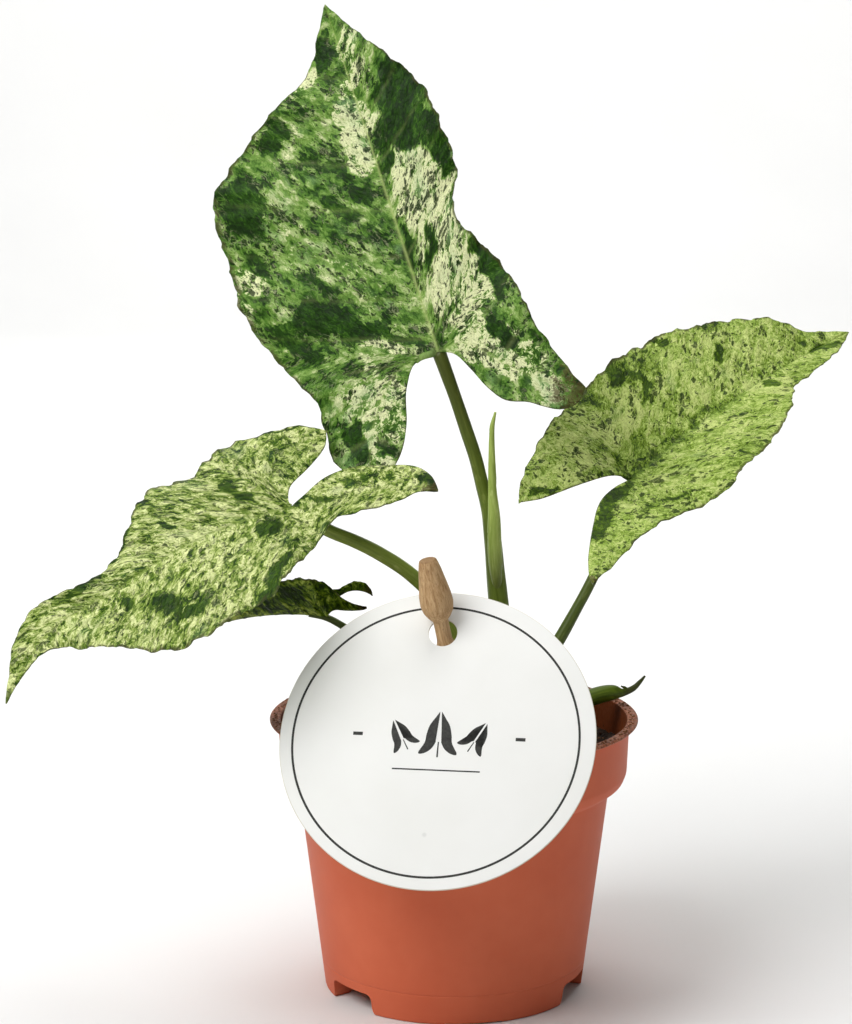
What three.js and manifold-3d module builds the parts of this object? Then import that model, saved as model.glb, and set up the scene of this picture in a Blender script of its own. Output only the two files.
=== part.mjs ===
// Arrowhead plant (Syngonium) in a 12 cm nursery pot, with a plant card on a wooden stake.
// Millimetres, +Z up. The origin is on the pot's axis, on the surface that the pot stands on.
// The front of the plant, with the card, faces -Y.
import * as THREE from "three";
import { mergeVertices } from "three/addons/utils/BufferGeometryUtils.js";
import Module from "manifold-3d";

const wasm = await Module();
wasm.setup();

// ---------------------------------------------------------------- driving dimensions

const CLEARANCE = 0.3; // gap between two pieces that touch

const POT = {
  height: 90.4,
  wall: 1.0,
  footRadius: 42.4, // outside, where the feet stand
  taper: 0.1246, // outward per mm of height
  footDepth: 6.6, // from the outside of a foot to its inner wall's face
  footWall: 1.4,
  floorUnderside: 7.4,
  floorThickness: 1.2,
  shoulder: 67, // height where the wall turns out into the collar
  collarBottom: 74,
  collarRadius: 56.7,
  lipRadius: 60,
  mouthRadius: 56.4,
  lipThickness: 1.3,
  feet: 3,
  frontFootBearing: 8.25, // degrees from -Y towards +X, middle of the front foot
  notch: { width: 20, height: 6.8, corner: 2.5, flare: 3, depth: 14 },
  drainHole: { radius: 4.5, fromAxis: 33 },
  heelRelief: { width: 18.5, height: 0.5, depth: 12 }, // shallow rise in the middle of each foot
  sides: 54,
};

const SOIL = { level: 80, roughness: 0.45, mound: 1.6, moundReach: 26, sides: 40, rings: 8 };

const CARD = {
  radius: 48.8,
  thickness: 0.7,
  leanBack: 36.74, // degrees from upright
  turn: -8.74, // degrees about +Z
  center: [-5.74, -55.1, 97.3],
  holeRadius: 4.52,
  holeUp: 35, // from the card's centre, up the card
  holeAcross: -1.26,
  arcSteps: 40,
};

// The stake's axis runs up from where it crosses the card; its profile is [along, radius].
const STAKE = {
  lean: [-0.207, -0.14, 1],
  uphill: 0.5, // the neck sits this far above the hole's centre, measured up the card
  profile: [
    [24.3, 2.6],
    [23.6, 2.95],
    [21.1, 3.55],
    [15.3, 4.6],
    [12.5, 5.1],
    [9.7, 5.25],
    [7.2, 4.7],
    [5.2, 3.5],
    [4.1, 2.4],
    [-2.4, 2.4],
    [-4.6, 3.0],
    [-7.5, 4.7],
    [-72, 4.7],
    [-88, 0.9],
  ],
  bury: 1, // length of the point below the last ring
  sides: 24,
};

const CROWN_SIDES = 14;
const STALK_SIDES = 9;

// A stalk is a run of [x, y, z, radius], from the crown up to the blade.
const CROWN = [
  [19.9, 3, 46, 3.6],
  [19.6, 3, 60, 5.0],
  [19.2, 3, 78, 5.6],
  [18.8, 3, 86, 5.2],
  [18.1, 3, 93, 4.0],
];
const TALL_STALK = [
  [18.05, 3, 93.4, 3.5],
  [17.6, 3, 99, 3.3],
  [16, 3.4, 114.6, 3.1],
  [14.4, 3.9, 130, 2.95],
  [13.6, 4, 138, 2.75],
  [12.9, 4.1, 146, 2.6],
  [11.6, 4.3, 156, 2.45],
  [9.3, 4.6, 164.7, 2.2],
  [6.9, 5, 174.4, 2.15],
  [3.9, 5.8, 183.4, 2.15],
  [0.4, 7, 193.7, 2.05],
  [-3, 8.6, 203, 2.2],
  [-5.6, 10.6, 210, 2.2],
  [-7.6, 14.4, 216, 1.2],
];
const LEFT_STALK = [
  [17.5, 2.4, 84.5, 2.7],
  [14.4, 1.6, 87.5, 2.7],
  [10.2, 0.4, 97, 2.5],
  [3.6, -1.4, 112.6, 2.4],
  [-5, -3.2, 128.4, 2.4],
  [-14.2, -5.5, 138.4, 2.3],
  [-23.8, -7, 145.2, 2.25],
  [-31.8, -8, 149.5, 2.15],
  [-39.1, -9, 152.7, 2.1],
  [-46.7, -9.8, 156.6, 2.1],
  [-53.6, -11.6, 157.6, 1.9],
  [-59.5, -14.5, 154.6, 1.0],
];
const RIGHT_STALK = [
  [20.4, 3.2, 85.5, 2.4],
  [22.9, 3.8, 89.2, 2.3],
  [25.6, 5, 95.5, 2.2],
  [29.9, 6.2, 105.6, 2.1],
  [36, 8, 116.2, 2.0],
  [40.4, 10, 123.8, 1.8],
  [44.7, 12, 131.5, 1.75],
  [50, 14.6, 142.4, 1.7],
  [54.9, 16.4, 155, 1.75],
  [58.4, 17.6, 163.4, 1.7],
  [61.8, 20.4, 166.6, 0.9],
];
const SMALL_STALK = [
  [17.4, 4, 82.6, 1.7],
  [9.6, 5.8, 87.4, 1.45],
  [2.1, 7, 92.9, 1.35],
  [-11.1, 8.5, 101.3, 1.25],
  [-24.2, 9, 110.2, 1.2],
  [-35.6, 8.6, 117.6, 1.2],
  [-41.5, 8.2, 120.9, 1.1],
  [-47.5, 8.4, 121.9, 0.7],
];
// The rolled new leaf stands in front of the tall stalk, nested in a groove of it.
const NEW_LEAF = [
  [14.3, 2.6, 130, 0.7],
  [13.8, 1.3, 135.5, 1.7],
  [13.3, 0.75, 141, 2.15],
  [13, 0.5, 146.5, 2.25],
  [12.9, 0.3, 155.5, 1.95],
  [12.3, 0.4, 165, 1.35],
  [12, 0.7, 174.7, 1.05],
  [12.05, 0.9, 184.1, 0.75],
  [13.2, 1.5, 189.9, 0.3],
];
// The side shoot: a swollen sheath, then a thin tip that curves up over the rim.
const SIDE_SHOOT = [
  [20.5, 4.6, 82.6, 1.8],
  [26.4, 6.2, 84.7, 2.0],
  [33, 7.2, 88, 2.3],
  [40, 8, 91.6, 2.6],
  [47.2, 9, 94.4, 2.65],
  [52.3, 9.8, 95.3, 2.4],
  [55.8, 10, 95.3, 1.3],
  [59.2, 10.5, 96.6, 1.0],
  [61.5, 11, 98.7, 0.7],
  [63.2, 11.5, 100.6, 0.35],
];
const SHOOT_SCALE = [
  [57.6, 10.2, 95.9, 0.6],
  [56.5, 10.1, 96.9, 0.5],
  [55.2, 10, 97.5, 0.25],
];

// A blade is drawn flat, as [across, along]: along runs from the sinus, where the stalk joins,
// to the tip, and across grows to the right of that when the upper face is towards you.
// Each half has its lobe's vein, its outer margin from lobe tip to leaf tip, and its inner
// margin from lobe tip to sinus. Then the blade is folded along the midrib, bowed and rippled.
const BLADE = {
  thickness: 0.8,
  rib: 0.9, // how much deeper the midrib is at the sinus
  across: [0, 0.09, 0.38, 0.7, 1],
  innerAcross: [0, 0.5, 1],
};

const LEAVES = {
  tall: {
    sinus: [-5.2, 8, 208.5],
    tip: [-42.6, 55, 318.6],
    facing: [-0.45, -1, 0.3],
    foldWidth: 6,
    bow: 0,
    bend: 0,
    rows: { lobe: 8, blade: 18 },
    left: {
      fold: 0.15,
      droop: 0.25,
      lobeDroop: -0.2,
      shoulder: 0.31,
      ripple: { height: 2.0, count: 5.2, phase: 0.4 },
      vein: [[-33, -35], [-32, -24], [-26, -12], [-15, -1], [0, 0]],
      inner: [[-33, -35], [-26, -31], [-21, -26], [-17, -18], [-14, -8], [-8, 0], [0, 0]],
      outer: [
        [-33, -35], [-40, -29], [-45.5, -19], [-45, -6], [-45, 1], [-51, 12], [-57, 24], [-60, 36],
        [-61, 50], [-61.5, 66], [-57.5, 79.5], [-47, 89], [-39, 93.5], [-26, 99], [-14.5, 105],
        [-5.5, 117], [0, 125.5],
      ],
    },
    right: {
      fold: 0.15,
      droop: 0.6,
      lobeDroop: 0,
      shoulder: 0.33,
      ripple: { height: 1.6, count: 4.6, phase: 2.1 },
      vein: [[42, -29], [30, -22], [19, -11], [10, -1], [0, 0]],
      inner: [
        [42, -29], [38, -33], [32.5, -33], [27.5, -30], [23.5, -27], [16.5, -23.5], [12, -17],
        [9, -10], [5.3, -3], [0, 0],
      ],
      outer: [
        [42, -29], [37.5, -17], [34, -4], [32.5, 9], [27, 25], [21.5, 37], [21.5, 46], [25.3, 55],
        [26, 68], [23.8, 84], [17, 98], [8, 112], [0, 125.5],
      ],
    },
  },
  left: {
    sinus: [-52, -10, 161],
    tip: [-138.3, -48, 106.5],
    facing: [-0.05, -0.62, 0.85],
    foldWidth: 5,
    bow: 0.14,
    bend: 5,
    rows: { lobe: 8, blade: 18 },
    left: {
      fold: 0.25,
      droop: 0.3,
      lobeDroop: 0,
      shoulder: 0.33,
      ripple: { height: 1.5, count: 5.4, phase: 1.2 },
      vein: [[-31, -37], [-20, -29], [-11, -17], [-5, -5], [0, 0]],
      inner: [[-31, -37], [-24, -39], [-16, -37.5], [-8, -31], [-1, -24], [2, -15], [1, -6], [0, 0]],
      outer: [
        [-31, -37], [-27, -31.5], [-25.5, -26.5], [-22.5, -21], [-19.5, -14], [-17, -7],
        [-19, -0.5], [-27, 12], [-33.5, 21], [-37.5, 29], [-37, 40], [-39.5, 50], [-37.5, 59],
        [-32, 65], [-21, 74.5], [-10, 82], [-1, 88], [1, 98], [0, 108.9],
      ],
    },
    right: {
      fold: 0.25,
      droop: 0.8,
      lobeDroop: 0,
      shoulder: 0.31,
      ripple: { height: 1.5, count: 4.4, phase: 0.2 },
      vein: [[17, -26], [19, -16], [17, -6], [10, 0], [0, 0]],
      inner: [[17, -26], [12, -22], [9, -14], [7, -5], [3, -1], [0, 0]],
      outer: [
        [17, -26], [25, -21], [32.5, -12], [37.5, -4], [37, 2], [33, 8], [29.3, 14], [26.8, 19],
        [27.5, 25], [29, 31], [24, 39], [17, 48], [11, 57], [9, 64], [9.3, 69], [12, 76],
        [15.5, 82], [16.5, 88], [13, 96], [7, 102], [0, 108.9],
      ],
    },
  },
  right: {
    sinus: [58.3, 15, 165.9],
    tip: [138.3, 82, 206.4],
    facing: [0, -0.6, 0.8],
    foldWidth: 5,
    bow: 0.05,
    bend: 0,
    rows: { lobe: 8, blade: 18 },
    left: {
      fold: 0.3,
      droop: 0.3,
      lobeDroop: 0,
      shoulder: 0.33,
      ripple: { height: 1.4, count: 5.0, phase: 0.8 },
      vein: [[-15, -38], [-19, -27], [-18, -14], [-11, -3], [0, 0]],
      inner: [[-15, -38], [-12, -31], [-10, -22], [-8, -13], [-5, -4], [0, 0]],
      outer: [
        [-15, -38], [-20, -32.5], [-26, -22], [-32, -7], [-35, 9], [-36.3, 24], [-36.5, 42],
        [-35, 52], [-30.5, 59], [-29.5, 66], [-28, 74], [-22.5, 83], [-16.5, 91], [-9, 97.5],
        [-5, 105], [0, 112],
      ],
    },
    right: {
      fold: 0.5,
      droop: 0.5,
      lobeDroop: 0,
      shoulder: 0.34,
      ripple: { height: 1.4, count: 4.4, phase: 2.6 },
      vein: [[29.3, -51.3], [20, -34], [12, -18], [6, -6], [0, 0]],
      inner: [[29.3, -51.3], [26.3, -49.5], [19, -42], [9, -29], [1, -17], [-1, -8], [0, 0]],
      outer: [
        [29.3, -51.3], [28, -41], [25.5, -28], [25.5, -15], [27, -3], [31, 10], [28.5, 22],
        [27, 33], [22, 51], [16, 61], [10.5, 70], [9.8, 80], [8.8, 90], [6.2, 99], [0, 112],
      ],
    },
  },
  small: {
    sinus: [-41.5, 8, 122.3],
    tip: [-82, 14, 116.6],
    facing: [0.1, -0.2, 0.97],
    foldWidth: 2,
    bow: 0.06,
    bend: 0,
    rows: { lobe: 7, blade: 10 },
    left: {
      fold: 1.6,
      droop: 0,
      lobeDroop: 0,
      shoulder: 0.36,
      ripple: { height: 0.4, count: 3, phase: 0.5 },
      vein: [[-2.4, -14], [-3.3, -9], [-4.2, -4.5], [-2.8, -1], [0, 0]],
      inner: [[-2.4, -14], [-1.7, -11.5], [-2, -7.5], [-3, -3.4], [-1.6, -0.8], [0, 0]],
      outer: [
        [-2.4, -14], [-3.4, -11.3], [-5.3, -8.3], [-8.8, -5.9], [-12, -3.6], [-13, 0.5], [-12.6, 5],
        [-11.8, 9.5], [-11.7, 16], [-8.5, 27], [-4, 36], [0, 41.3],
      ],
    },
    right: {
      fold: 1.6,
      droop: 0.3,
      lobeDroop: 0,
      shoulder: 0.42,
      ripple: { height: 0.4, count: 3, phase: 2.0 },
      vein: [[3.6, -15.4], [5.4, -12.5], [5.6, -8], [3.6, -2.5], [0, 0]],
      inner: [[3.6, -15.4], [4.6, -12.2], [5, -8.6], [4.3, -4.4], [1.8, -1], [0, 0]],
      outer: [
        [3.6, -15.4], [5.3, -14.6], [6.8, -11.4], [6.7, -7.6], [5.6, -3.6], [5.7, 2], [5.8, 10],
        [5.4, 19], [4, 29], [2, 36], [0, 41.3],
      ],
    },
  },
};

const COLORS = {
  pot: 0xb9583c,
  soil: 0x2a1d15,
  crown: 0x6d6a35,
  stalk: 0x5f7d2d,
  blade: 0x8fae62,
  darkBlade: 0x3c4c1e,
  shoot: 0x4d6b22,
  card: 0xeceee6,
  stake: 0xa98a62,
};

// ---------------------------------------------------------------- solids

// A closed geometry as a manifold-3d solid.
function solidOf(geometry) {
  const bare = geometry.clone().deleteAttribute("normal").deleteAttribute("uv");
  const merged = mergeVertices(bare, 1e-4);
  return new wasm.Manifold(
    new wasm.Mesh({
      numProp: 3,
      vertProperties: new Float32Array(merged.attributes.position.array),
      triVerts: new Uint32Array(merged.index.array),
    }),
  );
}

// A solid back as a geometry. Of loose scraps that a cut leaves, only the largest body is kept.
function geometryOf(solid) {
  const bodies = solid.decompose();
  const largest = bodies.reduce((a, b) => (a.volume() >= b.volume() ? a : b));
  const { numProp, vertProperties, triVerts, numVert } = largest.getMesh();
  const positions = new Float32Array(numVert * 3);
  for (let i = 0; i < numVert; i++) {
    positions.set(vertProperties.subarray(i * numProp, i * numProp + 3), i * 3);
  }
  return new THREE.BufferGeometry()
    .setAttribute("position", new THREE.BufferAttribute(positions, 3))
    .setIndex(new THREE.BufferAttribute(new Uint32Array(triVerts), 1));
}

function indexedGeometry(points, triangles) {
  const positions = new Float32Array(points.flatMap((p) => [p.x, p.y, p.z]));
  return new THREE.BufferGeometry()
    .setAttribute("position", new THREE.BufferAttribute(positions, 3))
    .setIndex(triangles);
}

function cut(geometry, ...tools) {
  const whole = solidOf(geometry);
  return geometryOf(tools.reduce((solid, tool) => solid.subtract(solidOf(tool)), whole));
}

// A profile of [radius, height] turned about +Z. It starts and ends on the axis.
function turned(profile, sides) {
  const points = profile.map(([radius, height]) => new THREE.Vector2(radius, height));
  return new THREE.LatheGeometry(points, sides).rotateX(Math.PI / 2);
}

// A round bar along a smooth run of [x, y, z, radius].
function bar(run, sides, steps, grow = 0) {
  const centers = run.map(([x, y, z]) => new THREE.Vector3(x, y, z));
  const curve = new THREE.CatmullRomCurve3(centers, false, "catmullrom", 0.5);
  const radii = new THREE.SplineCurve(run.map((stop, i) => new THREE.Vector2(i, stop[3])));
  const { normals, binormals } = curve.computeFrenetFrames(steps, false);
  const points = [];
  for (let i = 0; i <= steps; i++) {
    const center = curve.getPoint(i / steps);
    const radius = radii.getPoint(i / steps).y + grow;
    for (let j = 0; j < sides; j++) {
      const turn = (2 * Math.PI * j) / sides;
      const point = center.clone();
      point.addScaledVector(normals[i], radius * Math.cos(turn));
      point.addScaledVector(binormals[i], radius * Math.sin(turn));
      points.push(point);
    }
  }
  const start = points.push(curve.getPoint(0)) - 1;
  const end = points.push(curve.getPoint(1)) - 1;
  const triangles = [];
  for (let j = 0; j < sides; j++) {
    const next = (j + 1) % sides;
    for (let i = 0; i < steps; i++) {
      const low = i * sides;
      const high = low + sides;
      triangles.push(low + j, low + next, high + next, low + j, high + next, high + j);
    }
    triangles.push(start, next, j, end, steps * sides + j, steps * sides + next);
  }
  return indexedGeometry(points, triangles);
}

// ---------------------------------------------------------------- pot and soil

const potWall = (height) => POT.footRadius + POT.taper * height;
const FLOOR_TOP = POT.floorUnderside + POT.floorThickness;

// The inside of the wall, from the floor up to the mouth, as [radius, height].
function potInside() {
  const { wall, shoulder, collarBottom, collarRadius } = POT;
  return [
    [potWall(FLOOR_TOP) - wall - 1.4, FLOOR_TOP],
    [potWall(FLOOR_TOP + 1.6) - wall, FLOOR_TOP + 1.6],
    [potWall(shoulder) - wall, shoulder + 0.4],
    [potWall(shoulder) + 1.4, shoulder + 2],
    [collarRadius - wall - 0.7, collarBottom - 2.4],
    [collarRadius - wall, collarBottom + 0.6],
  ];
}

function potProfile() {
  const { height, footRadius, footDepth, floorUnderside, shoulder } = POT;
  const { collarBottom, collarRadius, lipRadius, mouthRadius, lipThickness } = POT;
  return [
    [0, floorUnderside],
    [footRadius - footDepth - 1, floorUnderside],
    [footRadius - footDepth, floorUnderside - 1],
    [footRadius - footDepth, 0],
    [footRadius, 0],
    [potWall(12), 12],
    [potWall(shoulder), shoulder],
    [potWall(shoulder) + 2.3, shoulder + 1.3],
    [collarRadius - 1.3, collarBottom - 4],
    [collarRadius - 0.2, collarBottom - 1.2],
    [collarRadius + 0.5, height - lipThickness],
    [lipRadius - 0.5, height - lipThickness + 0.1],
    [lipRadius, height - lipThickness + 0.5],
    [lipRadius, height - 0.4],
    [lipRadius - 0.4, height],
    [mouthRadius + 0.5, height],
    [mouthRadius, height - 0.5],
    ...potInside().reverse(),
    [0, FLOOR_TOP],
  ];
}

// Turns a shape that is drawn at the front of the pot to a bearing, in degrees from -Y.
const atBearing = (geometry, degrees) => geometry.rotateZ(THREE.MathUtils.degToRad(degrees));

// The gap between two feet: small corners at the top, flared where it meets the ground.
function notchTool() {
  const { width, height, corner, flare, depth } = POT.notch;
  const half = width / 2;
  const shape = new THREE.Shape();
  shape.moveTo(-half - flare, -1);
  shape.quadraticCurveTo(-half, -0.5, -half, flare);
  shape.lineTo(-half, height - corner);
  shape.quadraticCurveTo(-half, height, -half + corner, height);
  shape.lineTo(half - corner, height);
  shape.quadraticCurveTo(half, height, half, height - corner);
  shape.lineTo(half, flare);
  shape.quadraticCurveTo(half, -0.5, half + flare, -1);
  return new THREE.ExtrudeGeometry(shape, { depth, bevelEnabled: false, curveSegments: 5 })
    .rotateX(Math.PI / 2)
    .translate(0, depth - 4 - POT.footRadius, 0);
}

// The hollow in the underside of a foot, which leaves a wall all round.
function footHollowTool() {
  const { footRadius, footDepth, footWall, feet, notch } = POT;
  const outer = footRadius - footWall;
  const inner = footRadius - footDepth + footWall;
  const reach = Math.PI / feet - Math.asin((notch.width / 2 + 2.5 * footWall) / inner);
  const front = -Math.PI / 2;
  const shape = new THREE.Shape()
    .absarc(0, 0, outer, front - reach, front + reach, false)
    .absarc(0, 0, inner, front + reach, front - reach, true);
  const depth = POT.floorUnderside;
  return new THREE.ExtrudeGeometry(shape, { depth, bevelEnabled: false, curveSegments: 12 })
    .translate(0, 0, -1);
}

function potGeometry() {
  const { feet, frontFootBearing, drainHole, heelRelief, footRadius } = POT;
  const tools = [];
  for (let i = 0; i < feet; i++) {
    const foot = frontFootBearing + (360 / feet) * i;
    const notch = foot + 180 / feet;
    const { width, height, depth } = heelRelief;
    const relief = new THREE.BoxGeometry(width, depth, 2 * height);
    const hole = new THREE.CylinderGeometry(drainHole.radius, drainHole.radius, 8, 20);
    tools.push(
      atBearing(notchTool(), notch),
      atBearing(footHollowTool(), foot),
      atBearing(relief.translate(0, -footRadius, 0), foot),
      atBearing(hole.rotateX(Math.PI / 2).translate(0, -drainHole.fromAxis, FLOOR_TOP), notch),
    );
  }
  return cut(turned(potProfile(), POT.sides), ...tools);
}

// Height of the soil at a point: it rises to the crown, with clods and dips.
function soilHeight(x, y) {
  const { level, roughness, mound, moundReach } = SOIL;
  const [crownX, crownY] = CROWN[2];
  const fromCrown = Math.hypot(x - crownX, y - crownY) / moundReach;
  const clods = Math.sin(0.31 * x + 1.3) * Math.cos(0.27 * y - 0.4)
    + 0.6 * Math.sin(0.63 * x - 0.52 * y)
    + 0.4 * Math.cos(0.9 * y + 0.35 * x);
  return level + mound * (Math.exp(-(fromCrown ** 2)) - 0.5) + roughness * clods;
}

function soilGeometry() {
  const { level, sides, rings } = SOIL;
  const side = potInside().map(([radius, height]) => [radius - CLEARANCE, height + CLEARANCE]);
  const edge = side[side.length - 1][0];
  const top = Array.from({ length: rings }, (_, i) => [(edge * (rings - i)) / rings, level]);
  const geometry = turned([[0, side[0][1]], ...side, ...top, [0, level]], sides);
  const position = geometry.attributes.position;
  for (let i = 0; i < position.count; i++) {
    if (position.getZ(i) > level - 0.01) {
      position.setZ(i, soilHeight(position.getX(i), position.getY(i)));
    }
  }
  return cut(geometry, crownBar(CLEARANCE, 2), stakeGeometry(CLEARANCE));
}

// ---------------------------------------------------------------- card and stake

// The card's frame: right across it, up along it, and out of its printed face.
function cardFrame() {
  const { degToRad } = THREE.MathUtils;
  const [leaned, turnedBy] = [degToRad(CARD.leanBack), degToRad(CARD.turn)];
  const axis = new THREE.Vector3(0, 0, 1);
  const right = new THREE.Vector3(1, 0, 0).applyAxisAngle(axis, turnedBy);
  const up = new THREE.Vector3(0, Math.sin(leaned), Math.cos(leaned)).applyAxisAngle(axis, turnedBy);
  const face = new THREE.Vector3().crossVectors(right, up);
  return { right, up, face, center: new THREE.Vector3(...CARD.center) };
}

function cardGeometry() {
  const { radius, thickness, holeRadius, holeUp, holeAcross, arcSteps } = CARD;
  const shape = new THREE.Shape().absarc(0, 0, radius, 0, 2 * Math.PI);
  shape.holes.push(new THREE.Path().absarc(holeAcross, holeUp, holeRadius, 0, 2 * Math.PI, true));
  const options = { depth: thickness, bevelEnabled: false, curveSegments: arcSteps };
  return new THREE.ExtrudeGeometry(shape, options).translate(0, 0, -thickness / 2);
}

// Where the stake's axis crosses the card.
function stakeOrigin() {
  const { right, up, center } = cardFrame();
  return center.clone()
    .addScaledVector(right, CARD.holeAcross)
    .addScaledVector(up, CARD.holeUp + STAKE.uphill);
}

function stakeGeometry(grow = 0) {
  const { profile, bury, lean, sides } = STAKE;
  const top = profile[0][0] + grow;
  const bottom = profile[profile.length - 1][0] - bury - grow;
  const rings = profile.map(([along, radius]) => [radius + grow, along]).reverse();
  const axis = new THREE.Vector3(...lean).normalize();
  const upright = new THREE.Quaternion().setFromUnitVectors(new THREE.Vector3(0, 0, 1), axis);
  const origin = stakeOrigin();
  return turned([[0, bottom], ...rings, [0, top]], sides)
    .applyQuaternion(upright)
    .translate(origin.x, origin.y, origin.z);
}

// ---------------------------------------------------------------- leaves

// The blade's frame, and the point in space of a flat point of it.
function bladeFrame(leaf) {
  const sinus = new THREE.Vector3(...leaf.sinus);
  const along = new THREE.Vector3(...leaf.tip).sub(sinus);
  const length = along.length();
  along.normalize();
  const face = new THREE.Vector3(...leaf.facing).normalize();
  face.addScaledVector(along, -face.dot(along)).normalize();
  const across = new THREE.Vector3().crossVectors(along, face);
  return { sinus, along, across, face, length };
}

const clamp = (value, low, high) => Math.min(high, Math.max(low, value));

// How far the midrib swings sideways near the tip.
function midribBend(leaf, share) {
  return leaf.bend * Math.sin(Math.PI * clamp((share - 0.6) / 0.4, 0, 1));
}

// Height over the blade's plane: a V along the midrib, halves that droop, and a bowed midrib.
function bladeHeight(leaf, length, a, t) {
  const share = t / length;
  const fromMidrib = a - midribBend(leaf, share);
  const half = fromMidrib > 0 ? leaf.right : leaf.left;
  const width = leaf.foldWidth;
  const fold = half.fold * (Math.hypot(fromMidrib, width) - width);
  const droop = (-half.droop * fromMidrib * fromMidrib) / length;
  const bow = 4 * leaf.bow * length * clamp(share, 0, 1) * (1 - clamp(share, 0, 1.2));
  const back = Math.max(0, -t);
  return fold + droop + bow - (half.lobeDroop * back * back) / length;
}

function spline(points) {
  return new THREE.SplineCurve(points.map(([x, y]) => new THREE.Vector2(x, y)));
}

// The point of the skeleton at a row: it runs along the lobe's vein, then along the midrib.
function skeletonPoint(leaf, half, length, row) {
  const { lobe, blade } = leaf.rows;
  if (row <= lobe) return half.vein.getPointAt(row / lobe);
  const share = (row - lobe) / blade;
  return new THREE.Vector2(midribBend(leaf, share), length * share);
}

// Where a row meets the outer margin, as a share of the margin's length.
function marginShare(leaf, shoulder, row) {
  const { lobe, blade } = leaf.rows;
  return row <= lobe ? (shoulder * row) / lobe : shoulder + ((1 - shoulder) * (row - lobe)) / blade;
}

// The margin's lift where its waves are.
function rippleLift({ height, count, phase }, share) {
  return height * Math.sin(2 * Math.PI * count * share + phase) * Math.sqrt(Math.sin(Math.PI * share));
}

// Points from the skeleton out to a margin. Each step is a share of the way.
function rowPoints(root, edge, steps, wave) {
  return steps.map((step) => ({
    a: root.x + (edge.x - root.x) * step,
    t: root.y + (edge.y - root.y) * step,
    lift: wave * step * step,
    rib: step === 0 ? 1 : 0,
  }));
}

// One half of a blade as rows of flat points, out to its outer margin and, in the lobe, also in
// to the margin between the lobes.
function halfRows(leaf, shape, length) {
  const half = { vein: spline(shape.vein), outer: spline(shape.outer), inner: spline(shape.inner) };
  const { lobe, blade } = leaf.rows;
  const rows = { outer: [], inner: [] };
  for (let i = 0; i <= lobe + blade; i++) {
    const root = skeletonPoint(leaf, half, length, i);
    const share = marginShare(leaf, shape.shoulder, i);
    const wave = rippleLift(shape.ripple, share);
    rows.outer.push(rowPoints(root, half.outer.getPointAt(share), BLADE.across, wave));
    if (i <= lobe) {
      rows.inner.push(rowPoints(root, half.inner.getPointAt(i / lobe), BLADE.innerAcross, 0));
    }
  }
  return rows;
}

// Triangles of a grid of rows, turned so that they face up on either half.
function gridTriangles(rows, index, flip) {
  const triangles = [];
  for (let i = 0; i + 1 < rows.length; i++) {
    for (let j = 0; j + 1 < rows[i].length; j++) {
      const near = [index(rows[i][j]), index(rows[i][j + 1])];
      const far = [index(rows[i + 1][j]), index(rows[i + 1][j + 1])];
      for (const [p, q, r] of [[near[0], near[1], far[1]], [near[0], far[1], far[0]]]) {
        if (p !== q && q !== r && r !== p) triangles.push(flip ? [p, r, q] : [p, q, r]);
      }
    }
  }
  return triangles;
}

// The blade's flat points and its triangles, as indices of them.
function flatBlade(leaf, length) {
  const known = new Map();
  const flat = [];
  const index = (point) => {
    const key = `${point.a.toFixed(3)},${point.t.toFixed(3)}`;
    if (!known.has(key)) known.set(key, flat.push(point) - 1);
    return known.get(key);
  };
  const triangles = [];
  for (const [half, flip] of [[leaf.left, true], [leaf.right, false]]) {
    const rows = halfRows(leaf, half, length);
    triangles.push(...gridTriangles(rows.outer, index, flip));
    triangles.push(...gridTriangles(rows.inner, index, !flip));
  }
  return { flat, triangles };
}

// The blade as a closed skin: the same triangles above and below its middle surface, with a
// deeper rib under the midrib and the lobes' veins, and a wall round the margin.
function bladeGeometry(leaf, grow = 0) {
  const frame = bladeFrame(leaf);
  const { flat, triangles } = flatBlade(leaf, frame.length);
  const middle = flat.map(({ a, t, lift }) => frame.sinus.clone()
    .addScaledVector(frame.along, t)
    .addScaledVector(frame.across, a)
    .addScaledVector(frame.face, bladeHeight(leaf, frame.length, a, t) + lift));
  const surface = indexedGeometry(middle, triangles.flat());
  surface.computeVertexNormals();
  const normal = (i) => new THREE.Vector3().fromBufferAttribute(surface.attributes.normal, i);
  const edges = marginEdges(triangles);
  if (grow > 0) growMargin(middle, edges, normal, grow);
  const half = BLADE.thickness / 2 + grow;
  const above = middle.map((p, i) => p.clone().addScaledVector(normal(i), half));
  const below = middle.map((p, i) => {
    const fade = 1 - clamp(Math.abs(flat[i].t) / frame.length, 0, 1);
    return p.clone().addScaledVector(normal(i), -half - BLADE.rib * flat[i].rib * fade);
  });
  return indexedGeometry([...above, ...below], skinTriangles(triangles, edges, middle.length));
}

// The edges that only one triangle has, each with the surface on its left.
function marginEdges(triangles) {
  const edges = new Map();
  for (const [p, q, r] of triangles) {
    for (const [from, to] of [[p, q], [q, r], [r, p]]) edges.set(`${from},${to}`, [from, to]);
  }
  return [...edges.values()].filter(([from, to]) => !edges.has(`${to},${from}`));
}

// Moves the margin's points outward in the surface.
function growMargin(points, edges, normal, grow) {
  const outward = new Map();
  for (const [from, to] of edges) {
    const out = points[to].clone().sub(points[from]).cross(normal(from)).normalize();
    for (const i of [from, to]) outward.set(i, (outward.get(i) ?? new THREE.Vector3()).add(out));
  }
  for (const [i, out] of outward) points[i].addScaledVector(out.normalize(), grow);
}

// Top, bottom and margin of a skin whose lower points follow its upper ones in the list.
function skinTriangles(triangles, edges, count) {
  const all = triangles.flatMap(([p, q, r]) => [[p, q, r], [p + count, r + count, q + count]]);
  for (const [from, to] of edges) {
    all.push([from, from + count, to + count], [from, to + count, to]);
  }
  return all.flat();
}

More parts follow.
